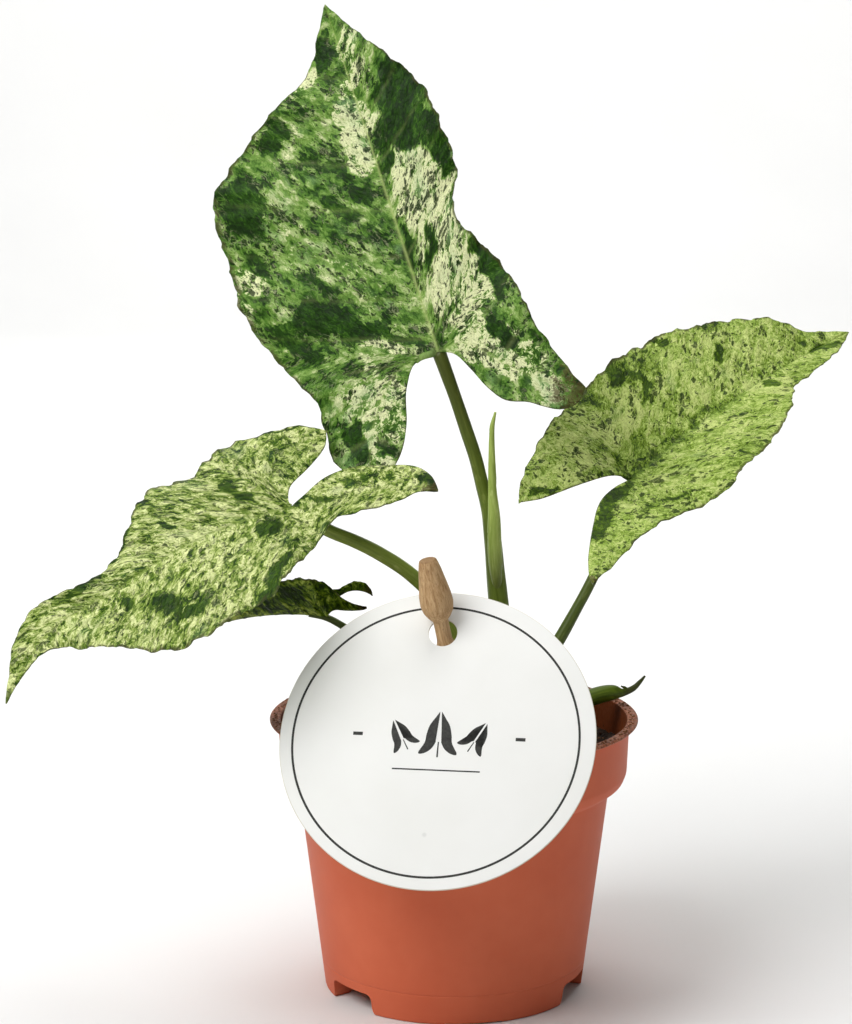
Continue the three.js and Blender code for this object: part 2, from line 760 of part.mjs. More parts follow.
// The short stem that the stalks grow from. Its hole in the soil is deeper by `sink`.
function crownBar(grow = 0, sink = 0) {
  const [[x, y, z, radius], ...rest] = CROWN;
  return bar([[x, y, z - sink, radius], ...rest], CROWN_SIDES, 12, grow);
}

const newLeafGeometry = (grow = 0) => bar(NEW_LEAF, 8, 14, grow);

// A stalk ends under its blade. Where a neighbour touches it, it is cut back by the clearance.
function stalkGeometry(run, leaf, steps, neighbour) {
  return cut(bar(run, STALK_SIDES, steps), bladeGeometry(leaf, CLEARANCE), neighbour);
}

function sideShootGeometry() {
  const scale = solidOf(bar(SHOOT_SCALE, 6, 3));
  const shoot = solidOf(bar(SIDE_SHOOT, STALK_SIDES, 18)).add(scale);
  return cut(geometryOf(shoot), crownBar(CLEARANCE));
}

// ---------------------------------------------------------------- the plant

const part = new THREE.Group();

function addPiece(name, geometry, color, roughness) {
  geometry.computeVertexNormals();
  const material = new THREE.MeshStandardMaterial({ color, roughness, flatShading: true });
  const mesh = new THREE.Mesh(geometry, material);
  mesh.name = name;
  part.add(mesh);
  return mesh;
}

addPiece("pot", potGeometry(), COLORS.pot, 0.55);
addPiece("soil", soilGeometry(), COLORS.soil, 0.95);
addPiece("crown_stem", crownBar(), COLORS.crown, 0.6);

const crown = crownBar(CLEARANCE);
const newLeaf = newLeafGeometry(CLEARANCE);
addPiece("stalk_tall", stalkGeometry(TALL_STALK, LEAVES.tall, 24, newLeaf), COLORS.stalk, 0.4);
addPiece("stalk_left", stalkGeometry(LEFT_STALK, LEAVES.left, 24, crown), COLORS.stalk, 0.4);
addPiece("stalk_right", stalkGeometry(RIGHT_STALK, LEAVES.right, 22, crown), COLORS.stalk, 0.4);
addPiece("stalk_small", stalkGeometry(SMALL_STALK, LEAVES.small, 18, crown), COLORS.stalk, 0.4);

addPiece("blade_tall", bladeGeometry(LEAVES.tall), COLORS.blade, 0.4);
addPiece("blade_left", bladeGeometry(LEAVES.left), COLORS.blade, 0.4);
addPiece("blade_right", bladeGeometry(LEAVES.right), COLORS.blade, 0.4);
addPiece("blade_small", bladeGeometry(LEAVES.small), COLORS.darkBlade, 0.4);

addPiece("new_leaf", newLeafGeometry(), COLORS.stalk, 0.4);
addPiece("side_shoot", sideShootGeometry(), COLORS.shoot, 0.4);

const card = addPiece("plant_card", cardGeometry(), COLORS.card, 0.6);
const { right, up, face, center } = cardFrame();
card.quaternion.setFromRotationMatrix(new THREE.Matrix4().makeBasis(right, up, face));
card.position.copy(center);
addPiece("card_stake", stakeGeometry(), COLORS.stake, 0.75);

export default part;
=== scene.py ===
"""Arrowhead plant in a nursery pot, with a round card on a wooden stake.

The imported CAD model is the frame. Lengths below are in millimetres, as in the CAD source, and
become metres where a mesh is made. +Z is up, and the front of the plant faces -Y.
"""
import math

import bmesh
import bpy
import numpy as np
from mathutils import Matrix, Vector


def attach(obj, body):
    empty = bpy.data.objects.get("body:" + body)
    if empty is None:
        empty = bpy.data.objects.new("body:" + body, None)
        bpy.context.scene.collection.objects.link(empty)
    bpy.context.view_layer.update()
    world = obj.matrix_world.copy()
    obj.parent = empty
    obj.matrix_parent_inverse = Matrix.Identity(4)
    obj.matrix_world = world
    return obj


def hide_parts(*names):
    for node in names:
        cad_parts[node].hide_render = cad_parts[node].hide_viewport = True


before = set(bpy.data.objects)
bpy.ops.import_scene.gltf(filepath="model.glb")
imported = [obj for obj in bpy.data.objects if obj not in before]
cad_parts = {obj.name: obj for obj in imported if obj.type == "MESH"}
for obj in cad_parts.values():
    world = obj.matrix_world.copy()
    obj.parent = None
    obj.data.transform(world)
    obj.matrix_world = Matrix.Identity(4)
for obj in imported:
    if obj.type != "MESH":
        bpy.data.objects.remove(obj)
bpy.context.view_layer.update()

MM = 0.001
random = np.random.default_rng(20)

# ---------------------------------------------------------------- dimensions, as in the CAD source

CLEARANCE = 0.3

POT = dict(
    height=90.4, wall=1.0, foot_radius=42.4, taper=0.1246, foot_depth=6.6, foot_wall=1.4,
    floor_underside=7.4, floor_thickness=1.2, shoulder=67, collar_bottom=74, collar_radius=56.7,
    lip_radius=60, mouth_radius=56.4, lip_thickness=1.3, feet=3, front_foot_bearing=8.25,
)
POT_SEAM = 9.8  # height of the mould's parting line
NOTCH = dict(width=20, height=6.8, corner=2.5, flare=3, depth=14)
DRAIN_HOLE = dict(radius=4.5, from_axis=33)
HEEL_RELIEF = dict(width=18.5, height=0.5, depth=12)
SOIL = dict(level=80, roughness=0.45, mound=1.6, mound_reach=26)
CARD = dict(
    radius=48.8, thickness=0.7, lean_back=36.74, turn=-8.74, center=(-5.74, -55.1, 97.3),
    hole_radius=4.52, hole_up=35, hole_across=-1.26,
)
SMUDGE = (-1, -31.4)  # a faint mark on the card, across and up from its centre
STAKE_LEAN = (-0.207, -0.14, 1)
STAKE_UPHILL = 0.5
STAKE_PROFILE = [  # [along, radius] from the head's top down to the point
    (24.3, 2.6), (23.6, 2.95), (21.1, 3.55), (15.3, 4.6), (12.5, 5.1), (9.7, 5.25), (7.2, 4.7),
    (5.2, 3.5), (4.1, 2.4), (-2.4, 2.4), (-4.6, 3.0), (-7.5, 4.7), (-72, 4.7), (-88, 0.9),
]

# Runs of [x, y, z, radius], from the crown up.
CROWN = [
    (19.9, 3, 46, 3.6), (19.6, 3, 60, 5.0), (19.2, 3, 78, 5.6), (18.8, 3, 86, 5.2),
    (18.1, 3, 93, 4.0),
]
TALL_STALK = [
    (18.05, 3, 93.4, 3.5), (17.6, 3, 99, 3.3), (16, 3.4, 114.6, 3.1), (14.4, 3.9, 130, 2.95),
    (13.6, 4, 138, 2.75), (12.9, 4.1, 146, 2.6), (11.6, 4.3, 156, 2.45), (9.3, 4.6, 164.7, 2.2),
    (6.9, 5, 174.4, 2.15), (3.9, 5.8, 183.4, 2.15), (0.4, 7, 193.7, 2.05), (-3, 8.6, 203, 2.2),
    (-5.6, 10.6, 210, 2.2), (-7.6, 14.4, 216, 1.2),
]
LEFT_STALK = [
    (17.5, 2.4, 84.5, 2.7), (14.4, 1.6, 87.5, 2.7), (10.2, 0.4, 97, 2.5), (3.6, -1.4, 112.6, 2.4),
    (-5, -3.2, 128.4, 2.4), (-14.2, -5.5, 138.4, 2.3), (-23.8, -7, 145.2, 2.25),
    (-31.8, -8, 149.5, 2.15), (-39.1, -9, 152.7, 2.1), (-46.7, -9.8, 156.6, 2.1),
    (-53.6, -11.6, 157.6, 1.9), (-59.5, -14.5, 154.6, 1.0),
]
RIGHT_STALK = [
    (20.4, 3.2, 85.5, 2.4), (22.9, 3.8, 89.2, 2.3), (25.6, 5, 95.5, 2.2), (29.9, 6.2, 105.6, 2.1),
    (36, 8, 116.2, 2.0), (40.4, 10, 123.8, 1.8), (44.7, 12, 131.5, 1.75), (50, 14.6, 142.4, 1.7),
    (54.9, 16.4, 155, 1.75), (58.4, 17.6, 163.4, 1.7), (61.8, 20.4, 166.6, 0.9),
]
SMALL_STALK = [
    (17.4, 4, 82.6, 1.7), (9.6, 5.8, 87.4, 1.45), (2.1, 7, 92.9, 1.35), (-11.1, 8.5, 101.3, 1.25),
    (-24.2, 9, 110.2, 1.2), (-35.6, 8.6, 117.6, 1.2), (-41.5, 8.2, 120.9, 1.1),
    (-47.5, 8.4, 121.9, 0.7),
]
NEW_LEAF = [
    (14.3, 2.6, 130, 0.7), (13.8, 1.3, 135.5, 1.7), (13.3, 0.75, 141, 2.15), (13, 0.5, 146.5, 2.25),
    (12.9, 0.3, 155.5, 1.95), (12.3, 0.4, 165, 1.35), (12, 0.7, 174.7, 1.05),
    (12.05, 0.9, 184.1, 0.75), (13.2, 1.5, 189.9, 0.3),
]
SIDE_SHOOT = [
    (20.5, 4.6, 82.6, 1.8), (26.4, 6.2, 84.7, 2.0), (33, 7.2, 88, 2.3), (40, 8, 91.6, 2.6),
    (47.2, 9, 94.4, 2.65), (52.3, 9.8, 95.3, 2.4), (55.8, 10, 95.3, 1.3), (59.2, 10.5, 96.6, 1.0),
    (61.5, 11, 98.7, 0.7), (63.2, 11.5, 100.6, 0.35),
]
SHOOT_SCALE = [(57.6, 10.2, 95.9, 0.6), (56.5, 10.1, 96.9, 0.5), (55.2, 10, 97.5, 0.25)]

# Blades drawn flat, as (across, along) from the sinus, where the stalk joins, to the tip.
# facing: which way the upper side looks. fold: how steeply a half rises from the midrib, beyond
# fold_width. droop, lobe_droop: how far a half sinks towards its margin, and its lobe backwards.
# bow, bend: how far the midrib arches up, and sideways near the tip. shoulder: the lobe's share of
# the outer margin. ripple: (height, count, phase) of the margin's waves. vein: points of the
# lobe's main vein, between lobe_tip and the sinus. inner: of the margin between the lobes, there
# too. outer: of the outer margin, from lobe_tip to the blade's tip.
LEAVES = {
    "tall": dict(
        sinus=(-5.2, 8, 208.5), tip=(-42.6, 55, 318.6), facing=(-0.45, -1, 0.3),
        fold_width=6, bow=0, bend=0,
        left=dict(
            fold=0.15, droop=0.25, lobe_droop=-0.2, shoulder=0.31, ripple=(2.0, 5.2, 0.4),
            lobe_tip=(-33, -35), vein=[(-32, -24), (-26, -12), (-15, -1)],
            inner=[(-26, -31), (-21, -26), (-17, -18), (-14, -8), (-8, 0)],
            outer=[
                (-40, -29), (-45.5, -19), (-45, -6), (-45, 1), (-51, 12), (-57, 24), (-60, 36),
                (-61, 50), (-61.5, 66), (-57.5, 79.5), (-47, 89), (-39, 93.5), (-26, 99),
                (-14.5, 105), (-5.5, 117), (0, 125.5),
            ],
        ),
        right=dict(
            fold=0.15, droop=0.6, lobe_droop=0, shoulder=0.33, ripple=(1.6, 4.6, 2.1),
            lobe_tip=(42, -29), vein=[(30, -22), (19, -11), (10, -1)],
            inner=[
                (38, -33), (32.5, -33), (27.5, -30), (23.5, -27), (16.5, -23.5), (12, -17),
                (9, -10), (5.3, -3),
            ],
            outer=[
                (37.5, -17), (34, -4), (32.5, 9), (27, 25), (21.5, 37), (21.5, 46), (25.3, 55),
                (26, 68), (23.8, 84), (17, 98), (8, 112), (0, 125.5),
            ],
        ),
    ),
    "left": dict(
        sinus=(-52, -10, 161), tip=(-138.3, -48, 106.5), facing=(-0.05, -0.62, 0.85),
        fold_width=5, bow=0.14, bend=5,
        left=dict(
            fold=0.25, droop=0.3, lobe_droop=0, shoulder=0.33, ripple=(1.5, 5.4, 1.2),
            lobe_tip=(-31, -37), vein=[(-20, -29), (-11, -17), (-5, -5)],
            inner=[(-24, -39), (-16, -37.5), (-8, -31), (-1, -24), (2, -15), (1, -6)],
            outer=[
                (-27, -31.5), (-25.5, -26.5), (-22.5, -21), (-19.5, -14), (-17, -7), (-19, -0.5),
                (-27, 12), (-33.5, 21), (-37.5, 29), (-37, 40), (-39.5, 50), (-37.5, 59), (-32, 65),
                (-21, 74.5), (-10, 82), (-1, 88), (1, 98), (0, 108.9),
            ],
        ),
        right=dict(
            fold=0.25, droop=0.8, lobe_droop=0, shoulder=0.31, ripple=(1.5, 4.4, 0.2),
            lobe_tip=(17, -26), vein=[(19, -16), (17, -6), (10, 0)],
            inner=[(12, -22), (9, -14), (7, -5), (3, -1)],
            outer=[
                (25, -21), (32.5, -12), (37.5, -4), (37, 2), (33, 8), (29.3, 14), (26.8, 19),
                (27.5, 25), (29, 31), (24, 39), (17, 48), (11, 57), (9, 64), (9.3, 69), (12, 76),
                (15.5, 82), (16.5, 88), (13, 96), (7, 102), (0, 108.9),
            ],
        ),
    ),
    "right": dict(
        sinus=(58.3, 15, 165.9), tip=(138.3, 82, 206.4), facing=(0, -0.6, 0.8),
        fold_width=5, bow=0.05, bend=0,
        left=dict(
            fold=0.3, droop=0.3, lobe_droop=0, shoulder=0.33, ripple=(1.4, 5.0, 0.8),
            lobe_tip=(-15, -38), vein=[(-19, -27), (-18, -14), (-11, -3)],
            inner=[(-12, -31), (-10, -22), (-8, -13), (-5, -4)],
            outer=[
                (-20, -32.5), (-26, -22), (-32, -7), (-35, 9), (-36.3, 24), (-36.5, 42), (-35, 52),
                (-30.5, 59), (-29.5, 66), (-28, 74), (-22.5, 83), (-16.5, 91), (-9, 97.5),
                (-5, 105), (0, 112),
            ],
        ),
        right=dict(
            fold=0.5, droop=0.5, lobe_droop=0, shoulder=0.34, ripple=(1.4, 4.4, 2.6),
            lobe_tip=(29.3, -51.3), vein=[(20, -34), (12, -18), (6, -6)],
            inner=[(26.3, -49.5), (19, -42), (9, -29), (1, -17), (-1, -8)],
            outer=[
                (28, -41), (25.5, -28), (25.5, -15), (27, -3), (31, 10), (28.5, 22), (27, 33),
                (22, 51), (16, 61), (10.5, 70), (9.8, 80), (8.8, 90), (6.2, 99), (0, 112),
            ],
        ),
    ),
    "small": dict(
        sinus=(-41.5, 8, 122.3), tip=(-82, 14, 116.6), facing=(0.1, -0.2, 0.97),
        fold_width=2, bow=0.06, bend=0,
        left=dict(
            fold=1.6, droop=0, lobe_droop=0, shoulder=0.36, ripple=(0.4, 3, 0.5),
            lobe_tip=(-2.4, -14), vein=[(-3.3, -9), (-4.2, -4.5), (-2.8, -1)],
            inner=[(-1.7, -11.5), (-2, -7.5), (-3, -3.4), (-1.6, -0.8)],
            outer=[
                (-3.4, -11.3), (-5.3, -8.3), (-8.8, -5.9), (-12, -3.6), (-13, 0.5), (-12.6, 5),
                (-11.8, 9.5), (-11.7, 16), (-8.5, 27), (-4, 36), (0, 41.3),
            ],
        ),
        right=dict(
            fold=1.6, droop=0.3, lobe_droop=0, shoulder=0.42, ripple=(0.4, 3, 2.0),
            lobe_tip=(3.6, -15.4), vein=[(5.4, -12.5), (5.6, -8), (3.6, -2.5)],
            inner=[(4.6, -12.2), (5, -8.6), (4.3, -4.4), (1.8, -1)],
            outer=[
                (5.3, -14.6), (6.8, -11.4), (6.7, -7.6), (5.6, -3.6), (5.7, 2), (5.8, 10),
                (5.4, 19), (4, 29), (2, 36), (0, 41.3),
            ],
        ),
    ),
}

# Where the mottling gathers: streaks (across, along, across, along, half width, tone) on a flat
# blade. Tone runs from -1, solid dark green, to 1, cream.
PATCHES = {
    "tall": [
        (17, 90, 15, 83, 8.5, -1), (12, 77, 13, 73, 7, -1), (23, 70, 22, 57, 3.5, -0.9),
        (4, 71, 3, 66, 3, -0.9), (-5, 114, -8, 106, 3, -0.8), (-29, 91, -32, 89, 4, -0.7),
        (-48, 76, -49, 69, 6.5, -0.9), (-23, 78, -11, 69, 3, -0.55), (-11, 63, -6, 56, 1.6, -0.9),
        (-19, 60, -13, 54, 2.4, -0.9), (-49, 54, -49, 50, 3.5, -0.7), (-36, 42, -27, 32, 2, -0.8),
        (-36, 27, -25, 19, 5, -1), (-28, 17, -15, 14, 3, -0.8), (-48, 27, -44, 26, 3.6, -0.8),
        (-46, 20, -39, 14, 3.3, -0.8), (-14, 12, -4, 4, 1.6, -0.9), (-35, -16, -35, -21, 4, -0.9),
        (-26, -23, -24, -26, 2.4, -0.7), (23, 27, 28, 15, 3.2, -1), (20, 1, 23, -6, 3.5, -1),
        (25, 11, 25, 8, 2.2, -0.8), (11, 41, 9, 29, 2.6, -0.8), (2, 42, 1, 31, 1.3, -0.8),
        (-30, 5, -28, 2, 2.3, -0.5), (-13, -1, -17, -10, 1.6, -0.3), (4, 112, 0, 96, 3, 0.7),
        (-4, 89, -1, 83, 4.5, 1), (-6, 78, -4, 68, 3.5, 0.9), (-22, 104, -12, 104, 3, 0.8),
        (8, 65, 13, 58, 4.6, 0.8), (13, 53, 20, 48, 4.2, 1), (4, 56, 5, 49, 2.3, 0.9),
        (14, 26, 20, 15, 5.8, 0.9), (7, 19, 8, 11, 3.2, 0.9), (14, 10, 17, 5, 3.2, 0.9),
        (-58, 50, -52, 45, 2.7, 0.9), (-60, 43, -59, 36, 2, 0.6), (26, -11, 34, -26, 4, 0.8),
        (-23, 12, -12, 6, 1.6, 0.9), (10, -4, 21, -16, 2, 0.6), (-22, 6, -23, -8, 2.4, 0.4),
        (13, 58, 15, 22, 8, 0.72), (9, 20, 14, -2, 6, 0.72), (22, -5, 33, -26, 5, 0.7),
        (-29, -6, -31, -28, 8, 0.45), (-18, -4, -21, -20, 4, 0.5), (-24, 40, -16, 22, 7, 0.18),
        (-40, 62, -34, 50, 6, 0.18), (-30, 84, -22, 92, 5, 0.25), (22, 74, 24, 66, 2, -0.9),
    ],
    "left": [
        (15, 12, 9, 10, 2.5, -0.9), (-9, 15, -6, 9, 2.8, -0.8), (-25, 16, -35, 29, 2.2, -1),
        (12, 39, 8, 37, 1.3, -0.8), (-7, 64, -10, 64, 2.4, -0.7), (-16, 56, -28, 50, 3.6, -0.6),
        (-26, 45, -30, 47, 1.8, -0.6), (0, 0, -1, -6, 1, -1), (-1, -6, -8, -10, 1, -0.8),
        (-22, -36, -28, -37, 1.6, -0.9), (25, -11, 14, -7, 2.6, -0.35), (-25, -26, -26, -26, 1.3, -0.8),
        (10, 74, 7, 65, 0.9, -0.8), (23, 39, 11, 57, 0.8, -0.8), (35, -9, 22, -23, 0.8, -0.6),
        (3, 37, -15, 30, 6, 0.25), (6, 81, -13, 77, 4, 0.2), (23, 7, 19, -1, 3, 0.3),
        (-5, -20, -13, -30, 1.6, -0.5), (-5, -12, -16, -25, 1.3, 0.5),
    ],
    "right": [
        (-36, 27, -29, 23, 2.7, -0.95), (-29, 30, -21, 29, 2.4, -0.7), (-30, 25, -27, 37, 5.4, -0.35),
        (-35, 48, -32, 49, 2, -0.9), (-34, 40, -33, 41, 1.4, -0.7), (-17, 61, -14, 59, 1.7, -0.8),
        (-2, 4, -3, 12, 1.3, -0.5), (-3, 13, -2, 30, 1, -0.35), (-2, 31, -2, 46, 1.3, -0.4),
        (11, -30, 2.6, -12, 3, -1), (2, -11, 0.6, -3, 1.7, -1), (17, -3, 21, 1, 1.6, -0.7),
        (15, -13, 17, -10, 2, -0.5), (21, 27, 22, 27, 1.3, -0.6), (1, 90, 2, 104, 1.4, -0.9),
        (-5, 91, -4, 93, 1.4, -0.8), (3, 64, 5, 66, 1.4, -0.8), (-15, -34, -12, -24, 1, -0.7),
        (-34, 10, -26, 14, 2.3, -0.5), (-29, 65, -26, 69, 3, -0.4), (-5, 58, 11, 65, 4.7, 0.35),
        (-1, 34, 13, 37, 4, 0.3), (-23, -11, -20, 0, 4.6, 0.2), (8, 4, 20, 10, 3, 0.3),
        # The streaks at across 0 on this line darken the midrib: partly its own deeper green, partly
        # painted shade in its groove. Those on the next two lines darken the veins that run out from the
        # sinus.
        (-27, 57, -10, 75, 6, 0.15), (0, 2, 0, 32, 1.8, -0.4), (0, 32, 0, 64, 1.2, -0.32),
        (-1, 0, -9, 14, 1.2, -0.36), (-1, -1, -14, 2, 1.2, -0.36), (-2, -2, -12, -10, 1.2, -0.36),
        (-9, 14, -24, 30, 1.3, -0.3), (0, 12, -10, 28, 1.1, -0.3), (-10, 28, -20, 44, 1.2, -0.26),
        # These two lighten the left half and its lobe: partly its own paler mottling, partly painted
        # light where the tall leaf's lobe shades it.
        (-12, -30, -13, -8, 8, 0.22), (-20, 0, -18, 58, 12, 0.2),
    ],
    "small": [(-8, 6, -6, 20, 3, -0.4), (0, 4, 0, 30, 1.2, 0.5)],
}


# ---------------------------------------------------------------- node materials

def srgb(red, green, blue):
    """An sRGB colour of 0 to 255 as Blender's linear one."""
    channels = [value / 255 for value in (red, green, blue)]
    return [c / 12.92 if c <= 0.04045 else ((c + 0.055) / 1.055) ** 2.4 for c in channels] + [1]


class Shader:
    """A material whose node tree is written as calls that return sockets.

    Colours that a call is given are sRGB, from 0 to 255.
    """

    def __init__(self, name):
        self.material = bpy.data.materials.new(name)
        self.material.use_nodes = True
        self.tree = self.material.node_tree
        self.surface = self.tree.nodes["Principled BSDF"]

    def node(self, kind, inputs, **settings):
        made = self.tree.nodes.new("ShaderNode" + kind)
        for key, value in settings.items():
            setattr(made, key, value)
        for key, value in inputs.items():
            self.feed(made.inputs[key], value)
        return made

    def feed(self, socket, value):
        if isinstance(value, bpy.types.NodeSocket):
            self.tree.links.new(value, socket)
        else:
            socket.default_value = value

    def attribute(self, name, output="Fac"):
        return self.node("Attribute", {}, attribute_name=name).outputs[output]

    def place(self):
        """Where a point is in the piece, in metres."""
        return self.node("TexCoord", {}).outputs["Object"]

    def scaled(self, vector, scale, offset=(0, 0, 0)):
        inputs = {"Vector": vector, "Scale": scale, "Location": offset}
        return self.node("Mapping", inputs).outputs[0]

    def length(self, vector):
        return self.node("VectorMath", {0: vector}, operation="LENGTH").outputs["Value"]

    def warped(self, vector, scale, amount):
        """The vector, pushed about by up to roughly the amount."""
        push = self.node("TexNoise", {"Vector": vector, "Scale": scale, "Detail": 2}).outputs["Color"]
        push = self.node("VectorMath", {0: push, 1: (0.5, 0.5, 0.5)}, operation="SUBTRACT").outputs[0]
        inputs = {0: push, 1: (2 * amount,) * 3, 2: vector}
        return self.node("VectorMath", inputs, operation="MULTIPLY_ADD").outputs[0]

    def math(self, operation, *values):
        return self.node("Math", dict(enumerate(values)), operation=operation).outputs[0]

    def times(self, value, factor):
        return self.math("MULTIPLY", value, factor)

    def weighted(self, start, values, weights):
        """Start plus each value times its weight."""
        total = start
        for value, weight in zip(values, weights):
            total = self.math("MULTIPLY_ADD", value, weight, total)
        return total

    def step(self, value, low, high):
        """0 at low, 1 at high, and smooth between."""
        inputs = {"Value": value, "From Min": low, "From Max": high}
        return self.node("MapRange", inputs, interpolation_type="SMOOTHSTEP").outputs[0]

    def noise(self, vector, scale, detail, roughness, distortion=0.0):
        inputs = {
            "Vector": vector, "Scale": scale, "Detail": detail, "Roughness": roughness,
            "Distortion": distortion,
        }
        return self.node("TexNoise", inputs).outputs[0]

    def centered_noise(self, vector, scale, detail):
        """Noise about zero."""
        return self.math("SUBTRACT", self.noise(vector, scale, detail, 0.6), 0.5)

    def cells(self, vector, scale):
        return self.node("TexVoronoi", {"Vector": vector, "Scale": scale})

    def spots(self, vector, scale, level):
        """Round spots, one in a cell at most, each with its own size; level adds to their radius."""
        cells = self.cells(vector, scale)
        own = self.node("SeparateColor", {0: cells.outputs["Color"]}).outputs[0]
        radius = self.math("MULTIPLY_ADD", own, 0.45, level)
        return self.step(self.math("SUBTRACT", radius, cells.outputs["Distance"]), 0.0, 0.12)

    def ramp(self, factor, *stops):
        """Colours that follow one another along a value. A stop is (position, colour)."""
        made = self.node("ValToRGB", {"Fac": factor})
        elements = made.color_ramp.elements
        while len(elements) < len(stops):
            elements.new(0.5)
        for element, (position, color) in zip(elements, stops):
            element.position = position
            element.color = srgb(*color)
        return made.outputs[0]

    def mix(self, factor, first, second, blend="MIX"):
        inputs = {0: factor, 6: first, 7: second}
        return self.node("Mix", inputs, data_type="RGBA", blend_type=blend).outputs[2]

    def paint(self, color, over, mask, strength=1.0):
        """A colour with another over it where the mask is."""
        if strength < 1:
            mask = self.times(mask, strength)
        return self.mix(mask, color, srgb(*over))

    def relief(self, *layers):
        """Bumps, one on another. A layer is (height, strength, distance in millimetres)."""
        under = {}
        for height, strength, distance in layers:
            inputs = {"Height": height, "Strength": strength, "Distance": distance * MM, **under}
            under = {"Normal": self.node("Bump", inputs).outputs[0]}
        return under["Normal"]

    def finish(self, color, roughness, gloss=0.5, normal=None):
        inputs = {"Base Color": color, "Roughness": roughness, "Specular IOR Level": gloss}
        if normal is not None:
            inputs["Normal"] = normal
        for key, value in inputs.items():
            self.feed(self.surface.inputs[key], value)
        return self.material


class LeafShader(Shader):
    """The mottled skin of a leaf, in layers, with a look from LOOKS.

    Its attribute flow is (along, out from the midrib, seed), and its tone is from PATCHES.
    """

    def __init__(self, name, look):
        super().__init__(name)
        self.look = look
        self.flow = self.attribute("flow", "Vector")
        self.tone = self.attribute("tone")
        wavy = self.warped(self.flow, 0.3, look["warp"])
        self.wavy = self.warped(wavy, 1.0, 0.5 * look["warp"])
        self.drawn = (1, look["stretch"], 1)
        self.large = self.grain(self.wavy, (1, 0.75, 1), (7, 70, 20), 0.13)
        self.medium = self.grain(self.wavy, look["clump"], (3, 9, 2), 0.36)
        self.small = self.grain(self.wavy, self.drawn, (41, 5, 9), look["fine"])
        self.tiny = self.grain(self.wavy, self.drawn, (2, 77, 5), 1.9, 1)

    def grain(self, vector, stretch, offset, scale, detail=2):
        return self.centered_noise(self.scaled(vector, stretch, offset), scale, detail)

    def shade(self):
        """How light the mottling is, from 0 to 1: the tone and four sizes of noise."""
        values = (self.tone, self.large, self.medium, self.small, self.tiny)
        return self.weighted(self.look["shift"], values, self.look["grain"])

    def mottling(self, shade):
        """Greens that run into one another, flecked cream areas, and solid dark ones."""
        look = self.look
        dark, deep, mid, light, cream, _ = look["palette"]
        color = self.ramp(shade, *zip(look["stops"], look["palette"]))
        ragged = (self.tone, self.medium, self.small, self.tiny)
        ragged = self.weighted(0.0, ragged, (1.0, *look["ragged"]))
        flecks = (self.large, self.medium, self.small, self.tiny)
        flecks = self.weighted(0.6, flecks, (1.2, 1.6, 0.9, 0.5))
        flecks = self.ramp(flecks, (0.3, deep), (0.4, mid), (0.48, light), (0.58, cream))
        bright = self.times(self.step(ragged, 0.26, 0.42), look["bright"])
        color = self.mix(bright, color, flecks)
        solid = self.weighted(0.5, (self.small, self.large), (1.0, 1.0))
        solid = self.ramp(solid, (0.36, dark), (0.64, deep), (0.86, mid))
        in_solid = self.step(ragged, look["solid_at"], look["solid_at"] - 0.08)
        return self.mix(in_solid, color, solid)

    def marks(self, color):
        """A painted sheen in pale patches, dark spots and pale threads off the solid areas, and fine grey
        grain.
        """
        look = self.look
        painted_sheen = self.grain(self.flow, (1, 1, 1), (60, 3, 4), 0.09)
        painted_sheen = self.step(self.math("MULTIPLY_ADD", self.tone, 0.1, painted_sheen), 0.08, 0.26)
        # Painted sheen: soft pale patches in the look's sheen colour stand for the shine on the leaf's
        # skin.
        color = self.paint(color, look["sheen"], painted_sheen, 0.3)
        crowd = self.grain(self.flow, (1, 0.8, 1), (91, 17, 8), 0.15)
        open_area = self.step(self.tone, -0.8, -0.2)
        for scale, level, crowding in look["spots"]:
            at = self.scaled(self.wavy, self.drawn, (13, 31, 3))
            spots = self.spots(at, scale, self.math("MULTIPLY_ADD", crowd, crowding, level))
            color = self.paint(color, look["palette"][0], self.times(spots, open_area), look["spot_mix"])
        lines = self.grain(self.wavy, self.drawn, (19, 23, 6), look["mesh"])
        threads = self.step(self.math("ABSOLUTE", lines), 0.035, 0.008)
        threads = self.times(threads, self.step(crowd, -0.08, 0.08))
        threads = self.times(threads, open_area)
        color = self.paint(color, look["palette"][4], threads, look["threads"])
        grey = self.ramp(self.math("ADD", self.tiny, 0.5), (0.3, (206, 206, 200)), (0.62, (255,) * 3))
        return self.mix(1.0, color, grey, "MULTIPLY")

    def veins_and_wear(self, color):
        """Veins in the look's own colour for them (pale on the tall leaf, darker on the right one), a
        brown margin, withered lobe tips and a plainer underside.
        """
        look = self.look
        color = self.paint(color, look["palette"][5], self.attribute("vein"), look["vein_mix"])
        margin = self.step(self.attribute("edge"), 0.955, 0.985)
        margin = self.times(margin, self.step(self.medium, -0.1, 0.04))
        color = self.paint(color, (62, 64, 30), margin, 0.85)
        dry = self.weighted(1.0, (self.medium, self.small), (3.0, 4.0))
        dry = self.step(self.times(dry, self.attribute("dry")), 0.3, 0.6)
        color = self.paint(color, (66, 56, 26), dry, 0.8)
        return self.paint(color, (104, 128, 76), self.attribute("under"), look["under"])


def leaf_material(name, look):
    shader = LeafShader(name, look)
    shade = shader.shade()
    color = shader.veins_and_wear(shader.marks(shader.mottling(shade)))
    pores = shader.noise(shader.flow, 3.2, 2, 0.5)
    normal = shader.relief(
        (pores, 0.25, 0.12), (shader.small, look["rough"], 0.5),
        (shader.medium, 0.7, look["crinkle"]), (shade, 0.25, 0.25),
    )
    rough = shader.math("MULTIPLY_ADD", shader.small, 0.5, 0.45)
    return shader.finish(color, rough, look["gloss"], normal)


